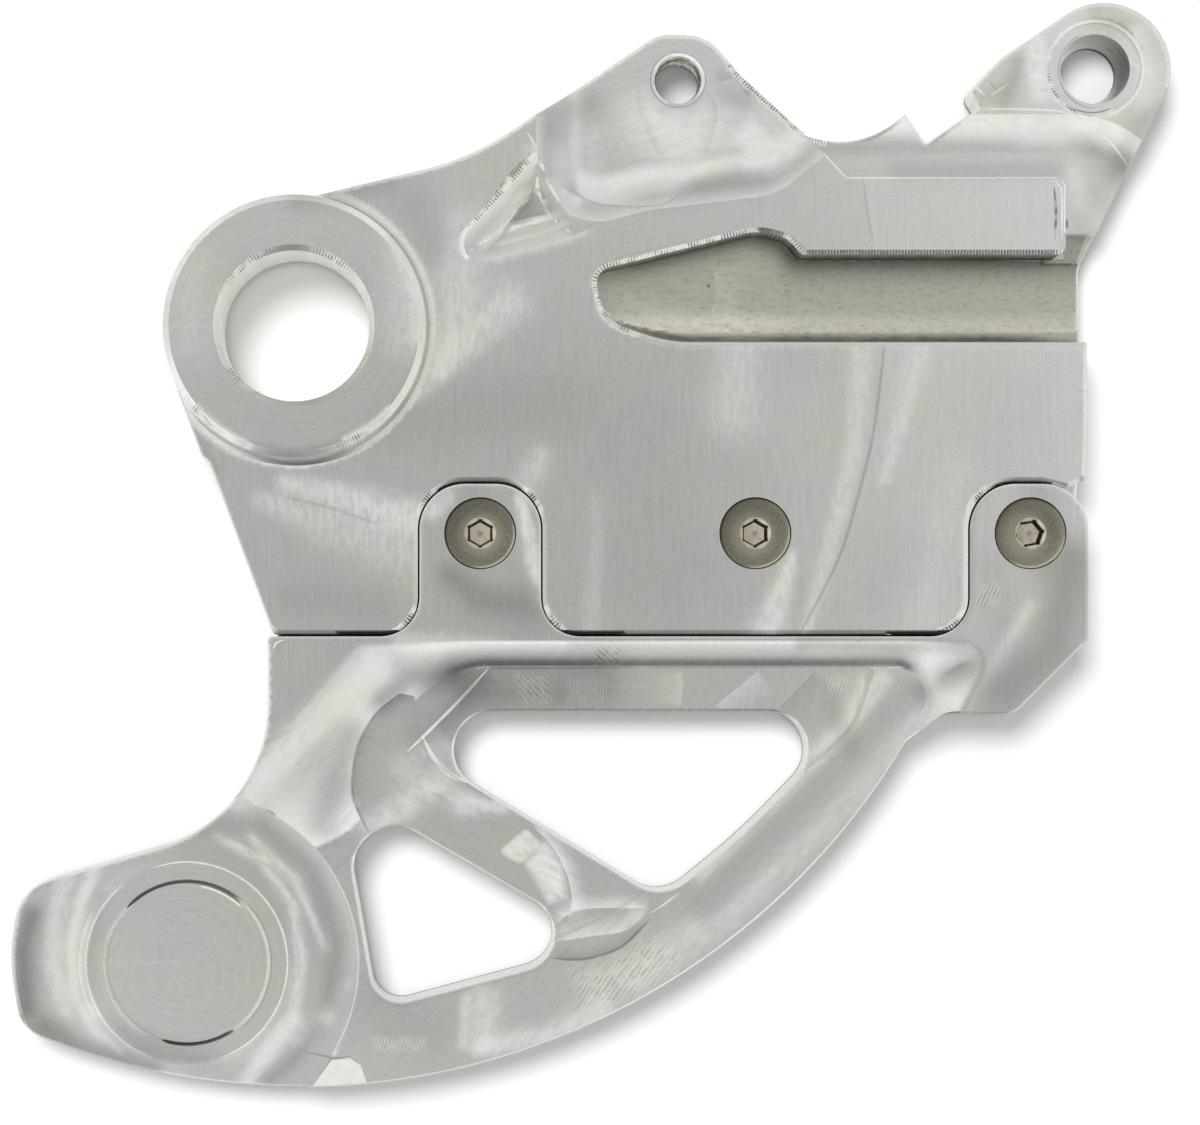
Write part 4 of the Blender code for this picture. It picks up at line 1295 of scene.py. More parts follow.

    # edge breaks: the ear's right edge painted bright as a glint, the seam's a little darker as
    # shade
    cuts += [
        edgeBreak(plateRing, c["edge"], plainEdge),
        edgeBreak(
            plateRing,
            c["earEdge"],
            lambda p: ~earInner.inside(p) & earRight.inside(p),
            tone=1.5,
            ticked=True,
        ),
        edgeBreak(
            plateRing,
            c["seamEdge"],
            lambda p: ~seamInner.inside(p) & (p[:, 1] <= c["seamBand"]),
            steep=0.62,
            tone=0.95,
        ),
    ]
    unders = [Cut(tongueRing(0.3), flat(c["tongueSpace"]))]
    rings = [
        plateRing, inner, seamInner, earInner, boreRing, earHole, lipRing, *screwHoles, grooveFlat
    ]
    rings += [
        circleRing(axle, c["boss"] + away)
        for away in (-c["edge"], *(c["foot"] * share for share in (0.16, 0.33, 0.6)))
    ]
    rings += [grooveRim.grown(-0.25), grooveRim.grown(-0.9), grooveRim.grown(-1.6)]
    lines = [
        *zip(pocketFloor, pocketFloor[1:] + pocketFloor[:1]),
        *zip([(28.3, 13.2), *pocketRim[1:]], pocketFloor),
    ]

    def walls(where, z, finish):  # fills in tone, ticks, roughness and stain
        x, y = where[:, 0], where[:, 1]
        groove = (y > 8.0) & (y < 17.5) & (x > 51.0) & (x < 130.5)
        # painted shade: the groove's walls dark near its floor, lighter towards the top
        finish[groove, 0] = np.interp(z[groove], (5.0, 7.0, 11.8), (0.08, 0.35, 0.75))
        finish[groove, 1] = 0.9
        bore = fromCentre(where, axle) < 13.6
        # the axle bore's wall painted lighter
        finish[bore, 0], finish[bore, 2] = 1.2, 0.5
        pin = fromCentre(where, c["pinAt"]) < 6.3
        # the pin bore's wall painted dark on its east side as shade
        finish[pin, 0] = (0.90 - 0.74 * facing(where, c["pinAt"], 5, 75))[pin]
        # walls along the seam painted near black as the gap's shade
        finish[(y < -25.0) & (x > 10.0) & (x < c["mouthX"]), 0] = 0.08

    return milledPlate(
        "carrierPlate", carrierMetal, domain, rings, lines, cuts, unders, baseTop, baseBottom,
        carrierSheenStrokes, 12.0, walls,
    )


# the guard

guard = {
    "plate": 12.0,
    "edge": 0.3,
    "seamY": -51.85,
    "rim": 9.5,
    "bar": 8.5,
    "web": 8.0,
    "pad": 8.0,
    "padAt": (-18.5, -107.1),
    "padDisc": 17.0,
    "padRadius": 29.0,
    "padRoll": 1.5,
    "padRise": 0.6,
    "swale": 0.2,
    "ringRadius": 13.8,
    "stripY": -52.4,
    "stripFoot": -57.2,
    "tongue": 5.7,
    "tabFloor": 6.0,
    "windowEdge": 0.35,
    "seamBand": -53.0,
}


def guardOutline():
    g, c = guard, carrier
    left, right = screwXs[0], screwXs[-1]
    seam = g["seamY"]
    return Ring([
        (-4.65, seam, 0.9), *tabSide(left, seam), *mirrored(tabSide(left, seam), left),
        *tabSide(right, seam), (c["rightX"], c["tabTop"], c["tabCorner"]),
        (c["rightX"], -52.4, 1.0), (c["rightX"] - 12.4, -64.8, 3.5),
        (c["rightX"] - 23.7, -64.7, 5.0), *arc((0.3, -8.5), 119.5, -30.7, -111.0, 110),
        (-46.7, -118.3, 6.0), (-48.7, -106.3, 30.0), (-46.9, -94.6, 8.0), (-4.65, -82.15, 25.5),
    ])


# painted highlights and painted shade on the guard's faces
guardSheenStrokes = [
    (0.34, (15, 17), (374, 668), (318, 724), (266, 778)),
    (-0.46, (16, 13), (452, 672), (408, 680), (382, 700)),
    (-0.26, 15, (352, 735), (338, 775), (318, 824)),
    (-0.16, (16, 12), (345, 790), (330, 830)),
    (-0.16, 13, (940, 672), (948, 712)),
    (-0.12, 12, (832, 705), (850, 745)),
    (-0.10, 16, (330, 720), (290, 770), (262, 800)),
    (0.16, (9, 9), (400, 642), (560, 644)),
    (-0.10, (8, 8), (620, 648), (800, 650)),
    (-0.26, (7, 8), (800, 644), (960, 648)),
    (-0.22, (16, 24), (400, 664), (470, 662), (520, 658), (600, 658)),
    (0.16, (12, 12), (880, 680), (850, 724), (780, 796), (700, 872)),
    (-0.26, 13, (925, 692), (956, 668)),
    (-0.10, (13, 13), (912, 690), (850, 750), (800, 802), (750, 852), (700, 902)),
    (0.10, (14, 14), (935, 700), (870, 780), (800, 850), (720, 925), (640, 985)),
    (0.08, (10, 20), (690, 925), (640, 960), (600, 985)),
    (0.18, (8, 16), (480, 1048), (550, 1036), (600, 1015)),
    (0.14, 6, (462, 1045), (466, 1000)),
    (0.14, 14, (486, 1000), (484, 1040)),
    (-0.10, 30, (370, 1000), (430, 1030)),
    (-0.28, (14, 22), (450, 575), (480, 600), (530, 605)),
    (0.24, (6, 9), (520, 500), (533, 560), (540, 600)),
    (0.16, (9, 8), (432, 512), (450, 498)),
    (-0.08, 20, (470, 500), (490, 530)),
    (-0.18, 22, (1036, 490), (1040, 560)),
    (-0.18, 12, (1092, 570), (1090, 650)),
    (-0.34, (24, 34), (1070, 560), (1050, 650), (1000, 690)),
    (0.22, (8, 12), (1028, 606), (995, 660), (959, 700)),
    (-0.10, 20, (990, 570), (1000, 620)),
    (-0.08, (10, 20), (478, 680), (450, 720), (430, 732)),
    (0.10, 16, (440, 745), (405, 768)),
    (-0.30, (22, 22), (470, 690), (540, 694), (600, 690)),
    (0.16, 14, (440, 782), (374, 826)),
    (0.20, (12, 8), (462, 803), (502, 806)),
    (-0.42, (13, 11), (24, 1010), (22, 950), (30, 916)),
    (-0.34, (14, 12), (44, 1030), (84, 1052), (150, 1070)),
    (0.26, (6, 5), (94, 868), (79, 905), (70, 950), (74, 990), (92, 1030), (118, 1052)),
    (0.16, 9, (64, 878), (52, 920), (52, 970), (64, 1010)),
    (-0.14, 9, (84, 1000), (88, 950), (100, 900)),
    (-0.10, 14, (105, 1030), (180, 1062), (250, 1076)),
    (-0.18, (14, 14), (110, 845), (180, 825), (240, 822)),
    (-0.24, (12, 12), (330, 1000), (336, 940), (312, 870), (262, 826)),
    (0.17, (5, 6), (215, 835), (262, 862), (292, 905), (301, 960), (294, 1010)),
    (0.18, (5, 5), (250, 836), (296, 880), (326, 950)),
    (0.34, (8, 9), (292, 1022), (268, 1052), (246, 1082)),
    (-0.20, (8, 8), (318, 1030), (290, 1064), (270, 1080)),
    (0.14, (8, 8), (345, 985), (326, 1020), (300, 1044)),
    (-0.16, 20, (120, 1050), (200, 1064)),
    (0.16, 12, (238, 806), (250, 796)),
]


# painted highlights and painted shade on the guard, with scallops of chatter ticks
def guardPaintedMarks():
    far = circleRing(seen(250, 1500), 75.0)
    side = circleRing(seen(560, 1500), 140.0)
    aslant = circleRing(seen(0, 100), 90.0)

    armEdge = ((489, 668), (460, 700), (430, 730))
    armRoll = (
        (400, 693), (384, 706), (373, 717), (360, 740), (354, 763), (352, 793), (357, 810),
        (368, 832),
    )

    def padArc(radius, start, end):
        return pixelArc((186.5, 963), radius, start, end)

    padLines = (  # painted highlight and shade lines around the pad, each with its tone, width, height, radius, start and end
        (1.3, 2.2, 9, 172, -32, 62),
        (1.4, 1.8, 8, 101, 130, 250),
        (1.4, 1.8, 8, 101, -70, 110),
        (0.35, 3.0, 8, 81, 48, 138),
        (1.5, 2.0, 8, 78, 45, 80),
        (0.35, 3.0, 8, 81, 252, 305),
        (1.5, 2.2, 8, 82, 140, 248),
        (0.8, 1.6, 8, 79, 140, 248),
        (1.5, 2.2, 8, 82, -52, 46),
        (0.8, 1.6, 8, 85, -52, 46),
    )
    return [
        scribe(2.0, 3.0, 12, (273, 650), (276, 643), (284, 640)),
        scribe(0.62, 2.2, 9, *armRoll),
        crease(0.16, 34, 9, *armRoll[::-1]),
        crease(-0.12, -30, 8.5, *armEdge, (407, 750)),
        crease(-0.25, 40, 8, *armEdge),
        scribe(1.8, 3.0, 9, *armEdge, (407, 752)),
        scribe(1.7, 5.0, 9, (423, 737), (430, 752), (440, 766), (455, 777), (474, 784)),
        crease(-0.30, -9, 9, (468, 781), (478, 788), (496, 801)),
        scribe(1.8, 4.0, 9, (466, 779), (478, 788), (498, 800)),
        scribe(1.4, 3.0, 9, (354, 804), (344, 814), (337, 824)),
        crease(0.18, 24, 9, (330, 832), (345, 812), (362, 806)),
        lobe(0.30, 0.6, 8.5, (496, 852), (526, 826), (544, 844), (520, 866)),
        lobe(0.34, 1.6, 8.5, (520, 862), (545, 834), (566, 862), (570, 900), (548, 908)),
        crease(0.26, -18, 8.5, (566, 922), (572, 900), (566, 872), (552, 846), (530, 824)),
        crease(0.30, -16, 8.5, (650, 908), (600, 908), (572, 912), (555, 926)),
        crease(0.28, 22, 8.5, (553, 942), (588, 936), (625, 930), (650, 909)),
        scribe(0.55, 2.4, 8.5, (548, 957), (570, 959), (592, 957), (623, 945), (650, 918)),
        crease(-0.26, 14, 8.5, (548, 956), (570, 958), (592, 956), (623, 944), (646, 922)),
        scribe(1.4, 2.0, 9, (650, 913), (664, 904), (678, 893)),
        scribe(0.72, 2.0, 9, (480, 668), (560, 668), (640, 667)),
        scribe(0.80, 2.0, 9, (640, 667), (760, 667), (900, 666)),
        crease(0.10, -40, 8, (683, 669), (683, 690), (681, 708)),
        crease(-0.16, 40, 8, (816, 669), (797, 690), (776, 710)),
        crease(0.12, -22, 8.5, (866, 668), (861, 700), (846, 730), (812, 764)),
        crease(0.14, 34, 8, (760, 669), (735, 690), (712, 708)),
        scallops(0.5, aslant, 8, (508, 670), (552, 670), (556, 708), (516, 708)),
        scallops(0.4, aslant, 9, (590, 645), (626, 645), (622, 666), (592, 666)),
        scallops(0.4, side, 8, (560, 672), (610, 672), (612, 708), (562, 708)),
        scallops(
            0.4, far, 9, (556, 962), (600, 958), (650, 930), (688, 945), (680, 975), (610, 1015),
            (574, 1010),
        ),
        scallops(0.5, far, 9, (368, 1030), (430, 1030), (432, 1054), (372, 1052)),
        scallops(0.4, side, 9, (826, 672), (850, 672), (846, 694), (824, 694)),
        scallops(0.35, side, 12, (974, 580), (1004, 580), (1000, 612), (972, 606)),
        patch(1.7, 8, (313, 1085), (332, 1059), (350, 1057), (361, 1064), (368, 1084)),
        scribe(0.70, 2.0, 8, (305, 1052), (332, 1057), (352, 1055)),
        *[scribe(tone, width, height, *padArc(*sweep)) for tone, width, height, *sweep in padLines],
        crease(0.30, 10, 8, *padArc(108, 150, 215)),
    ]


def buildGuard():
    g, c = guard, carrier
    plateRing = guardOutline()
    inner = plateRing.grown(-g["edge"])
    tongue = tongueRing(0.0)
    upper = Ring([(9.4, -64.4, 6.7), (61.9, -96.3, 7.0), (75.6, -85.2, 113.3), (95.6, -64.4, 6.7)])
    lower = Ring([(7.2, -77.4, 7.0), (53.3, -104.2, 6.2), (13.7, -114.8, 5.0)])

    gapY = c["seamY"] - 0.02  # a thin lip at the bottom of the gap between the plates, painted near black as the gap's shade
    seamShadeLip = Ring([(-3.2, g["seamY"]), (131.0, g["seamY"]), (131.0, gapY), (-3.2, gapY)])

    def domain(where):
        within = plateRing.inside(where) | tongue.inside(where) | seamShadeLip.inside(where)
        for hole in (upper, lower, *screwHoles):
            within &= ~hole.inside(where)
        return within

    def baseTop(plan, middles, faces):
        result = np.full((len(faces), 3), g["tongue"])
        result[plateRing.inside(middles)] = g["plate"]
        return result

    def baseBottom(plan, middles, faces):
        result = np.zeros((len(faces), 3))
        used = plateRing.inside(middles) & ~tongue.inside(middles)
        heights = np.zeros(len(plan))
        ids = np.unique(faces[used])
        heights[ids] = np.maximum(0, g["edge"] + plateRing.outwards(plan[ids]))
        result[used] = heights[faces[used]]
        return result

    rightX = c["rightX"]
    topRing = Ring([
        (-60.0, -79.8), (-14.0, -79.8, 2.0), (9.9, g["stripY"], 3.0),
        (rightX - 13.8, g["stripY"], 4.0), (rightX - 22.3, -66.5), (rightX - 22.3, -140.0),
        (-60.0, -140.0),
    ])
    floorRing = Ring([
        (-50.0, -96.0), (11.6, -86.0, 16.0), (20.5, g["stripFoot"], 16.0),
        (rightX - 24.3, g["stripFoot"], 5.0), (rightX - 29.8, -70.0), (rightX - 29.8, -138.0),
        (-50.0, -138.0),
    ])
    barRing = Ring([
        (13.4, -90.0), (12.1, -84.9), (10.3, -81.2), (9.4, -78.3, 2.0), (9.8, -73.2, 2.0),
        (10.8, -69.3, 2.0), (13.0, -65.4, 1.0), (14.8, -63.6), (17.6, -61.4, 0.4),
        (20.0, -61.9, 0.4), (22.0, -74.5, 6.0), (64.0, -86.0, 2.0), (66.0, -90.6, 2.0),
        (52.5, -99.4, 24.0), (38.5, -105.2, 2.0), (24.0, -100.0, 2.0),
    ])
    webRing = Ring([
        (19.6, -71.2, 0.6), (33.0, g["stripFoot"] + 0.4, 0.6), (98.0, g["stripFoot"] + 0.4, 1.0),
        (94.5, -67.5, 10.0), (84.6, -75.8, 1.0), (60.0, -85.0, 1.0), (29.5, -77.5, 1.0),
    ])
    padAt = g["padAt"]
    padArc = Ring([
        *arc(padAt, g["padRadius"], -60, 75, 60),
        (padAt[0] - 60, padAt[1] + 29),
        (padAt[0] - 60, padAt[1] - 29),
    ])
    padIn, padOut = padArc.grown(-g["padRoll"]), padArc.grown(g["padRise"])

    def padHeight(where):
        away = padArc.outwards(where)
        low = g["pad"] + g["padRise"] * np.clip((away + g["padRoll"]) / g["padRoll"], 0, 1)
        return np.where(away > 0, g["pad"] + g["padRise"] + away * 9.0, low)

    half = (g["padRadius"] - g["padDisc"]) / 2
    bend = (half**2 + g["swale"] ** 2) / (2 * g["swale"])

    def swaleHeight(where):
        away = np.clip(fromCentre(where, padAt) - g["padDisc"] - half, -half, half)
        return g["pad"] - g["swale"] + bend - np.sqrt(bend**2 - away**2)

    def ringHeight(where):
        away = np.abs(fromCentre(where, padAt) - g["ringRadius"])
        return g["pad"] - 0.45 * np.clip(1 - away / 0.35, 0, 1)

    disc, swaleRing = circleRing(padAt, g["padDisc"]), circleRing(padAt, g["padRadius"] - 0.01)
    cuts = [
        Cut(topRing, shoulderBetween(topRing, floorRing, g["plate"], g["rim"]), lay=("line", 48)),
        Cut(barRing, flat(g["bar"]), lay=("line", -30)),
        Cut(webRing, flat(g["web"]), lay=("ring", (60, -60))),
        Cut(padOut, padHeight, lay=("ring", padAt)),
        Cut(swaleRing, swaleHeight, lay=("ring", padAt)),
        Cut(disc, flat(g["pad"]), lay=("line", 0)),
        Cut(
            circleRing(padAt, g["ringRadius"] + 0.35),
            ringHeight,
            lay=("ring", padAt),
            only=lambda p: fromCentre(p, padAt) > g["ringRadius"] - 0.35,
        ),
    ]
    cuts += [sinkFor(screwXs[0]), sinkFor(screwXs[2]), *guardPaintedMarks()]
    # the lip painted near black as shade in the gap
    cuts.append(Cut(seamShadeLip, None, tone=0.05, only=lambda p: ~plateRing.inside(p)))
    def inSeam(p):
        return p[:, 1] > g["seamBand"]

    cuts += [
        edgeBreak(plateRing, g["edge"], lambda p: ~inner.inside(p) & ~inSeam(p)),
        edgeBreak(
            plateRing, g["edge"], lambda p: ~inner.inside(p) & inSeam(p), shallow=0.12, steep=0.12
        ),
        *[edgeBreak(window, g["windowEdge"], outside=True) for window in (upper, lower)],
    ]
    left, right = screwXs[0], screwXs[-1]
    reach = 18.8
    unders = []
    for start, end in ((left - reach, left + reach), (right - reach, rightX + 2.0)):
        ring = Ring([(start, g["seamY"]), (end, g["seamY"]), (end, -24.0), (start, -24.0)])
        unders.append(Cut(ring, flat(g["tabFloor"])))
    rings = [plateRing, inner, tongue, upper, lower, *screwHoles, floorRing, barRing, padArc, padIn]
    rings += [circleRing(padAt, g["ringRadius"]), circleRing(padAt, g["ringRadius"] - 0.35)]

    def walls(where, z, finish):
        x, y = where[:, 0], where[:, 1]
        # walls along the seam painted near black as the gap's shade
        finish[(y > -52.3) & (x > -4.3) & (x < c["mouthX"]), 0] = 0.08

    return milledPlate(
        "guardFin", guardMetal, domain, rings, [], cuts, unders, baseTop, baseBottom, guardSheenStrokes,
        9.5, walls,
    )


carrierPlate = buildCarrier()
guardFin = buildGuard()
print("plates milled")

# the screws

steel = Finish("screwSteel", 0.28)
steelNoise = steel.noise(steel.join(*steel.place()), 2.2, 4.0, 0.65)
headX, headY, headZ, _ = steel.attribute("headPlace")
headAway = (headX * headX + headY * headY).math("SQRT")
turnedRings = steel.noise(steel.join(headAway * 6.0), 1.0, 2.0)
# painted light: the head lighter towards the south-east
lightSide = (headX * 0.26 - headY * 0.97) / 6.0
headEdge = headAway.step(5.35, 5.75)
headDeep = headZ * -1.0
recess = headDeep.step(0.05, 0.5)
# a painted highlight on the socket's mouth chamfer
mouthGlint = headDeep.step(0.02, 0.08) * (1.0 - headDeep.step(0.26, 0.34))
mouthGlint = mouthGlint * (1.0 - headAway.step(3.2, 3.4))
# painted shade on the socket's walls
socketWallShade = headDeep.step(0.30, 0.5) * (1.0 - headDeep.step(2.0, 2.3))
socketWallShade = socketWallShade * (1.0 - headAway.step(2.6, 2.8))
bright, dark = lightSide.step(0.35, 0.8), (0.0 - lightSide).step(0.0, 0.7)
# a painted bright crescent on the rim's lit side and a dark one opposite, painted shade in the
# socket and a painted highlight at its mouth
steelLightAndShade = 0.92 + 0.22 * lightSide + headEdge * (bright * 0.9 - dark * 0.30)
steelLightAndShade = steelLightAndShade * (1.0 - 0.80 * socketWallShade) * (1.0 + 1.1 * mouthGlint)
steelColour = steel.blendColour(steelNoise, (0.22, 0.205, 0.155, 1.0), (0.37, 0.345, 0.275, 1.0))
# the socket's floor painted lighter, as the light it reflects
steelColour = steel.blendColour(recess, steelColour, (0.46, 0.42, 0.34, 1.0))
steel.feed(
    Base_Color=steel.scaleColour(steelColour, steelLightAndShade),
    Roughness=0.16 + 0.2 * steelNoise + headEdge * bright * 0.2,
    Normal=steel.bump(steelNoise * 0.6 + turnedRings * 0.4, 0.03),
)
threadMetal = Finish("threadMetal", 0.25)
threadNoise = threadMetal.noise(threadMetal.join(*threadMetal.place()), 1.4, 3.0)
threadMetal.feed(
    Base_Color=threadMetal.blendColour(
        threadNoise.step(0.35, 0.65), (0.46, 0.46, 0.38, 1.0), (0.80, 0.80, 0.74, 1.0)
    ),
    Roughness=0.16 + 0.16 * threadNoise,
    Normal=threadMetal.bump(threadNoise, 0.03),
)


def screwBody():
    s = screws
    head, thread = s["headRadius"], s["threadRadius"]
    edge = 0.12
    corner = s["acrossFlats"] / math.sqrt(3)
    steps = 72
    shape = bmesh.new()
    place = shape.verts.layers.float_vector.new("headPlace")

    def ringOf(radiusAt, height, flutes=0.0):
        return [
            shape.verts.new((
                radiusAt(t) * math.cos(t) * mm,
                radiusAt(t) * math.sin(t) * mm,
                (height + flutes * math.sin(3 * t + 0.5)) * mm,
            ))
            for t in (2 * math.pi * i / steps for i in range(steps))
        ]

    def hexagon(scale):
        sixth = math.pi / 6
        return lambda t: scale * corner * math.cos(sixth) / math.cos((t % (2 * sixth)) - sixth)

    def rounded(radius):
        return lambda t: radius

    mouth = s["mouth"]
    rings = [
        ringOf(rounded(thread - 0.7), -s["length"]),
        ringOf(rounded(thread), 0.7 - s["length"]),
        ringOf(rounded(thread), -s["land"] - (head - thread)),
        ringOf(rounded(head), -s["land"]),
        ringOf(rounded(head), -edge),
        ringOf(rounded(head - edge), -0.03),
        ringOf(rounded(head - 0.45), 0),
        ringOf(rounded(mouth), 0),
        ringOf(lambda t: max(mouth - 0.3, hexagon(1.05)(t) + 0.02), -0.12),
        ringOf(hexagon(1.04), -0.30),
        ringOf(hexagon(0.90), -s["socketDepth"] + 0.15),
        ringOf(hexagon(0.84), -s["socketDepth"] - 0.05),
        ringOf(hexagon(0.45), -s["socketDepth"] - 0.28, 0.05),
    ]
    for lower, upper in zip(rings, rings[1:]):
        for i in range(steps):
            j = (i + 1) % steps
            shape.faces.new((lower[i], lower[j], upper[j], upper[i]))
    shape.faces.new(rings[0][::-1])
    tip = shape.verts.new((0, 0, (-s["socketDepth"] - 0.5) * mm))
    for i in range(steps):
        shape.faces.new((rings[-1][i], rings[-1][(i + 1) % steps], tip))
    for vertex in shape.verts:
        vertex[place] = vertex.co / mm
    bmesh.ops.recalc_face_normals(shape, faces=shape.faces)
    mesh = bpy.data.meshes.new("screwBody")
    shape.to_mesh(mesh)
    shape.free()
    mesh.shade_smooth()
    mesh.set_sharp_from_angle(angle=math.radians(25))
    return linked("screwBody", mesh)


class Builder(Graph):  # a geometry tree with named inputs
    def __init__(self, name, **inputs):
        super().__init__(bpy.data.node_groups.new(name, "GeometryNodeTree"))
        self.sockets = {}
        for label, kind in inputs.items():
            item = self.tree.interface.new_socket(
                label, in_out="INPUT", socket_type="NodeSocket" + kind
            )
            self.sockets[label] = item.identifier
        self.tree.interface.new_socket(
            "Geometry", in_out="OUTPUT", socket_type="NodeSocketGeometry"
        )
        self.input = self.node("NodeGroupInput")

    def given(self, label):
        return Value(self, self.input.outputs[label])

    def finish(self, geometry, material):  # one real mesh with its material
        real = self.add("GeometryNodeRealizeInstances", None, {"Geometry": geometry})
        coated = self.add("GeometryNodeSetMaterial", None, {"Geometry": real, "Material": material})
        self.node("NodeGroupOutput", None, {0: coated})

    def bake(self, holder, name, **values):
        modifier = holder.modifiers.new("build", "NODES")
        modifier.node_group = self.tree
        for label, value in values.items():
            modifier[self.sockets[label]] = value
        graph = bpy.context.evaluated_depsgraph_get()
        mesh = bpy.data.meshes.new_from_object(holder.evaluated_get(graph))
        mesh.name = name
        bpy.data.objects.remove(holder, do_unlink=True)
        return linked(name, mesh)


def placeScrews():
    body = screwBody()
    points = bpy.data.meshes.new("screwPoints")
    points.from_pydata([inScene(x, screws["y"], screws["faceHeight"]) for x in screwXs], [], [])
    turn = points.attributes.new("turn", "FLOAT", "POINT")
    turn.data.foreach_set("value", [math.radians(t) for t in screws["turns"]])
    tree = Builder("screwSet", Geometry="Geometry", Screw="Object", Steel="Material")
    shape = tree.add(
        "GeometryNodeObjectInfo", None, {"Object": tree.given("Screw")}, out="Geometry"
    )
    named = tree.add(
        "GeometryNodeInputNamedAttribute", {"data_type": "FLOAT"}, {"Name": "turn"}, out="Attribute"
    )
    placed = tree.add(
        "GeometryNodeInstanceOnPoints",
        None,
        {"Points": tree.given("Geometry"), "Instance": shape, "Rotation": tree.join(z=named)},
    )
    tree.finish(placed, tree.given("Steel"))
    piece = tree.bake(
        linked("screwPoints", points), "guardScrews", Screw=body, Steel=steel.material
    )
    bpy.data.objects.remove(body, do_unlink=True)
    return piece


def cutThread():
    c = carrier
    tree = Builder(
        "earThread",
        Turns="Float",
        Radius="Float",
        Depth="Float",
        Ridge="Float",
        Place="Vector",
        Metal="Material",
    )
    radius = tree.given("Radius")
    coil = tree.add(
        "GeometryNodeCurveSpiral",
        None,
        {
            "Resolution": 36,
            "Rotations": tree.given("Turns"),
            "Start Radius": radius,
            "End Radius": radius,
            "Height": tree.given("Depth"),
        },
    )
    ridge = {"Resolution": 4, "Radius": tree.given("Ridge")}
    profile = tree.add("GeometryNodeCurvePrimitiveCircle", None, ridge)
    swept = tree.add(
        "GeometryNodeCurveToMesh",
        None,
        {"Curve": coil, "Profile Curve": profile, "Fill Caps": True},
    )
    moved = tree.add(
        "GeometryNodeTransform", None, {"Geometry": swept, "Translation": tree.given("Place")}
    )
    tree.finish(moved, tree.given("Metal"))
    return tree.bake(
        linked("threadHolder", bpy.data.meshes.new("threadHolder")),
        "earThread",
        Turns=c["threadTurns"],
        Radius=(c["earHole"] + 0.05) * mm,
        Depth=(c["ear"] - 1.6) * mm,
        Ridge=c["threadRidge"] * mm,
        Place=inScene(*c["earAt"], 0.6),
        Metal=threadMetal.material,
    )


guardScrews = placeScrews()
earThread = cutThread()
print("screws placed")

# the paper, the light and the camera

floorFinish = Finish("paperFloor", 0.9, 0.0)
rays = floorFinish.node("ShaderNodeLightPath").outputs
seenRay = sum(
    Value(floorFinish, rays[name])
    for name in ("Is Camera Ray", "Is Glossy Ray", "Is Transmission Ray")
)
floorFinish.feed(
    Base_Color=(0.88, 0.88, 0.88, 1.0),
    Emission_Color=(1.0, 1.0, 1.0, 1.0),
    Emission_Strength=seenRay * 0.10,
)
bpy.ops.mesh.primitive_plane_add(size=6.0, location=(0, 0, -0.0002))
paperFloor = bpy.context.object
paperFloor.name = "paperFloor"
paperFloor.data.materials.append(floorFinish.material)

# places in the sky are shares of the way from straight up to the horizon
studio = {
    "tent": (
        (0.0, 0.36), (0.08, 0.40), (0.17, 0.74), (0.26, 1.08), (0.38, 1.10), (0.52, 0.78),
        (0.66, 0.62), (0.80, 0.80), (0.91, 0.98), (1.0, 1.30),
    ),
    "sideLight": 0.16,
    "sideFrom": (-0.50, -0.86),
    "gapDark": 0.93,
    "gapWidth": (0.10, 0.62),
    "gapStart": (-0.30, 0.10, 0.58, 0.84),
    "gapSoft": 0.18,
    "gapEnd": (0.88, 0.94),
    "paperShare": 0.5,
    "sunStrength": 2.3,
    "sunAngle": 24.0,
    "sunFrom": (-0.26, 0.42, 1.0),
}


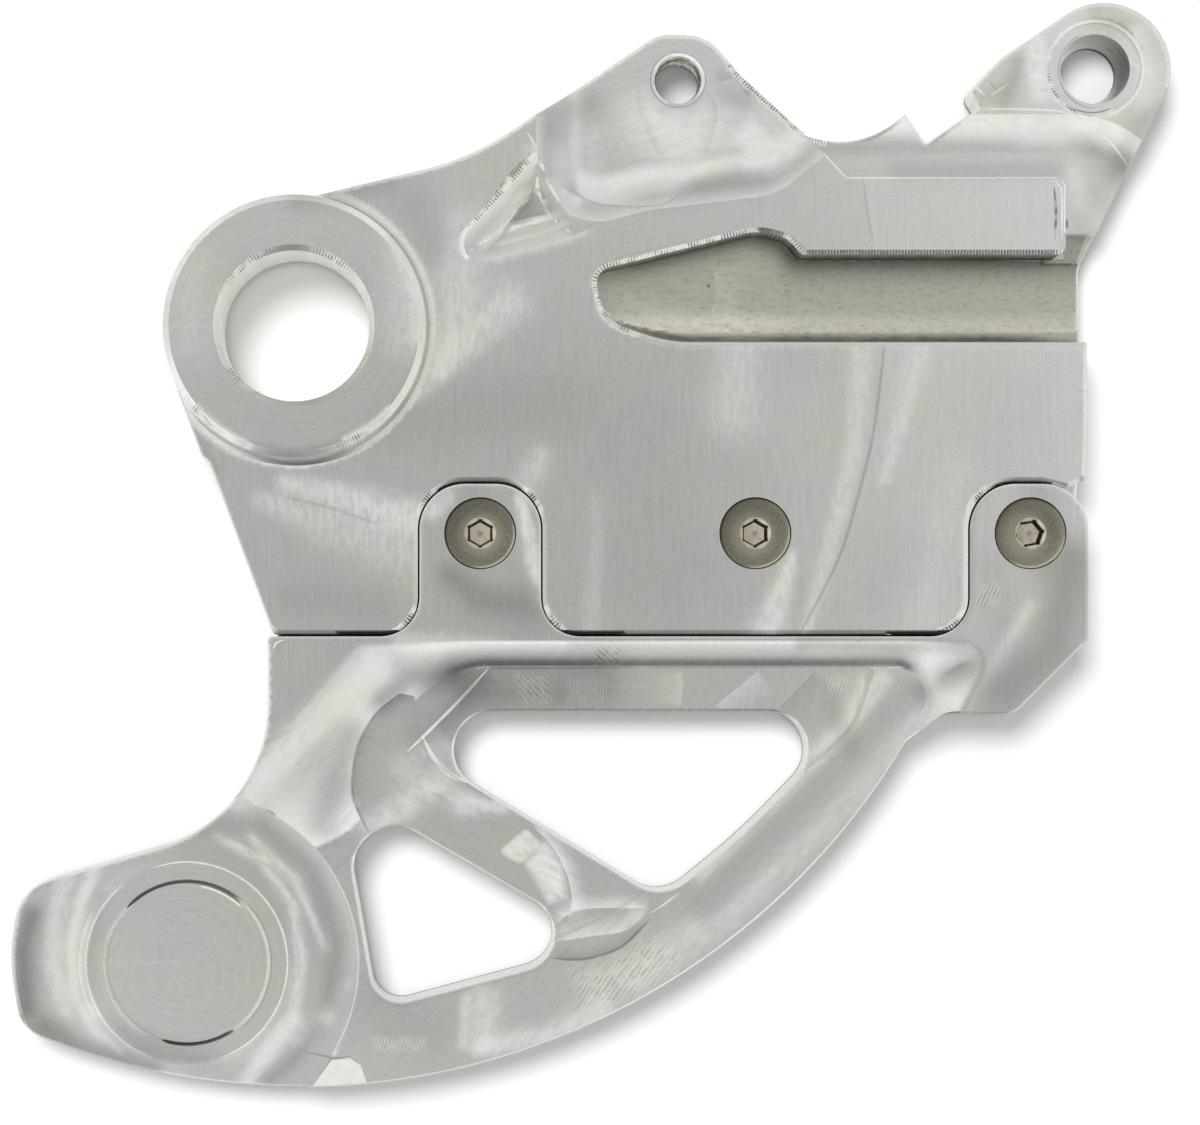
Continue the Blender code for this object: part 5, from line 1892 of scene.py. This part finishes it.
def lightTent():  # bright all round, with a dark gap at the front and the back
    world = bpy.data.worlds.new("studio")
    bpy.context.scene.world = world
    world.use_nodes = True
    sky = Graph(world.node_tree)
    direction = sky.add("ShaderNodeTexCoord", out="Generated")
    x, y, z = sky.split(direction)
    down = z.math("ARCCOSINE") / (math.pi / 2)
    tent = sky.node("ShaderNodeValToRGB", None, {0: down})
    tent.color_ramp.interpolation = "EASE"
    for i, (place, level) in enumerate(studio["tent"]):
        spot = tent.color_ramp.elements[i] if i < 2 else tent.color_ramp.elements.new(place)
        spot.position, spot.color = place, (level, level, level * 0.99, 1.0)
    towards = {0: direction, 1: (*studio["sideFrom"], 0.0)}
    beside = sky.add("ShaderNodeVectorMath", {"operation": "DOT_PRODUCT"}, towards, out="Value")
    lean = beside.math("MULTIPLY_ADD", studio["sideLight"], 1.0)
    gap = x.math("ABSOLUTE").step(*studio["gapWidth"], studio["gapDark"], 0.0)
    gap = gap * (down - y.ramp(*studio["gapStart"])).step(0.0, studio["gapSoft"])
    gap = gap * down.step(*studio["gapEnd"], 1.0, 0.0)
    fromPaper = sky.add("ShaderNodeLightPath", out="Is Diffuse Ray")
    soft = fromPaper.math("MULTIPLY_ADD", studio["paperShare"] - 1.0, 1.0)
    level = lean * (1.0 - gap) * soft
    sky.plug(
        sky.scaleColour(Value(sky, tent.outputs[0]), level),
        sky.tree.nodes["Background"].inputs["Color"],
    )


lightTent()
sun = bpy.data.lights.new("keyLight", "SUN")
sun.energy = studio["sunStrength"]
sun.angle = math.radians(studio["sunAngle"])
keyLight = linked("keyLight", sun)
keyLight.rotation_mode = "QUATERNION"
keyLight.rotation_quaternion = Vector(studio["sunFrom"]).to_track_quat("Z", "Y")
keyLight.visible_glossy = False

(wide, tall), (nadirX, nadirY) = view["frame"], view["nadirPixel"]
lens = bpy.data.cameras.new("camera")
lens.sensor_fit = "HORIZONTAL"
lens.sensor_width = 36.0
lens.lens = view["focal"] / wide * lens.sensor_width
lens.shift_x = (wide / 2 - nadirX) / wide
lens.shift_y = -(tall / 2 - nadirY) / wide
lens.clip_start = 0.01
camera = linked("camera", lens)
camera.location = inScene(*view["nadir"], view["height"])
bpy.context.scene.camera = camera
bpy.context.scene.view_settings.view_transform = "Standard"
print("studio set")

for piece, nodes, slot in (
    (carrierPlate, ["carrier"], "carrier_metal"),
    (guardFin, ["disc_guard"], "guard_metal"),
    (guardScrews, ["guard_screw_1", "guard_screw_2", "guard_screw_3"], "screw_metal"),
    (earThread, [], "carrier_metal"),
):
    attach(piece, "root")
    if nodes:
        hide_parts(*nodes)
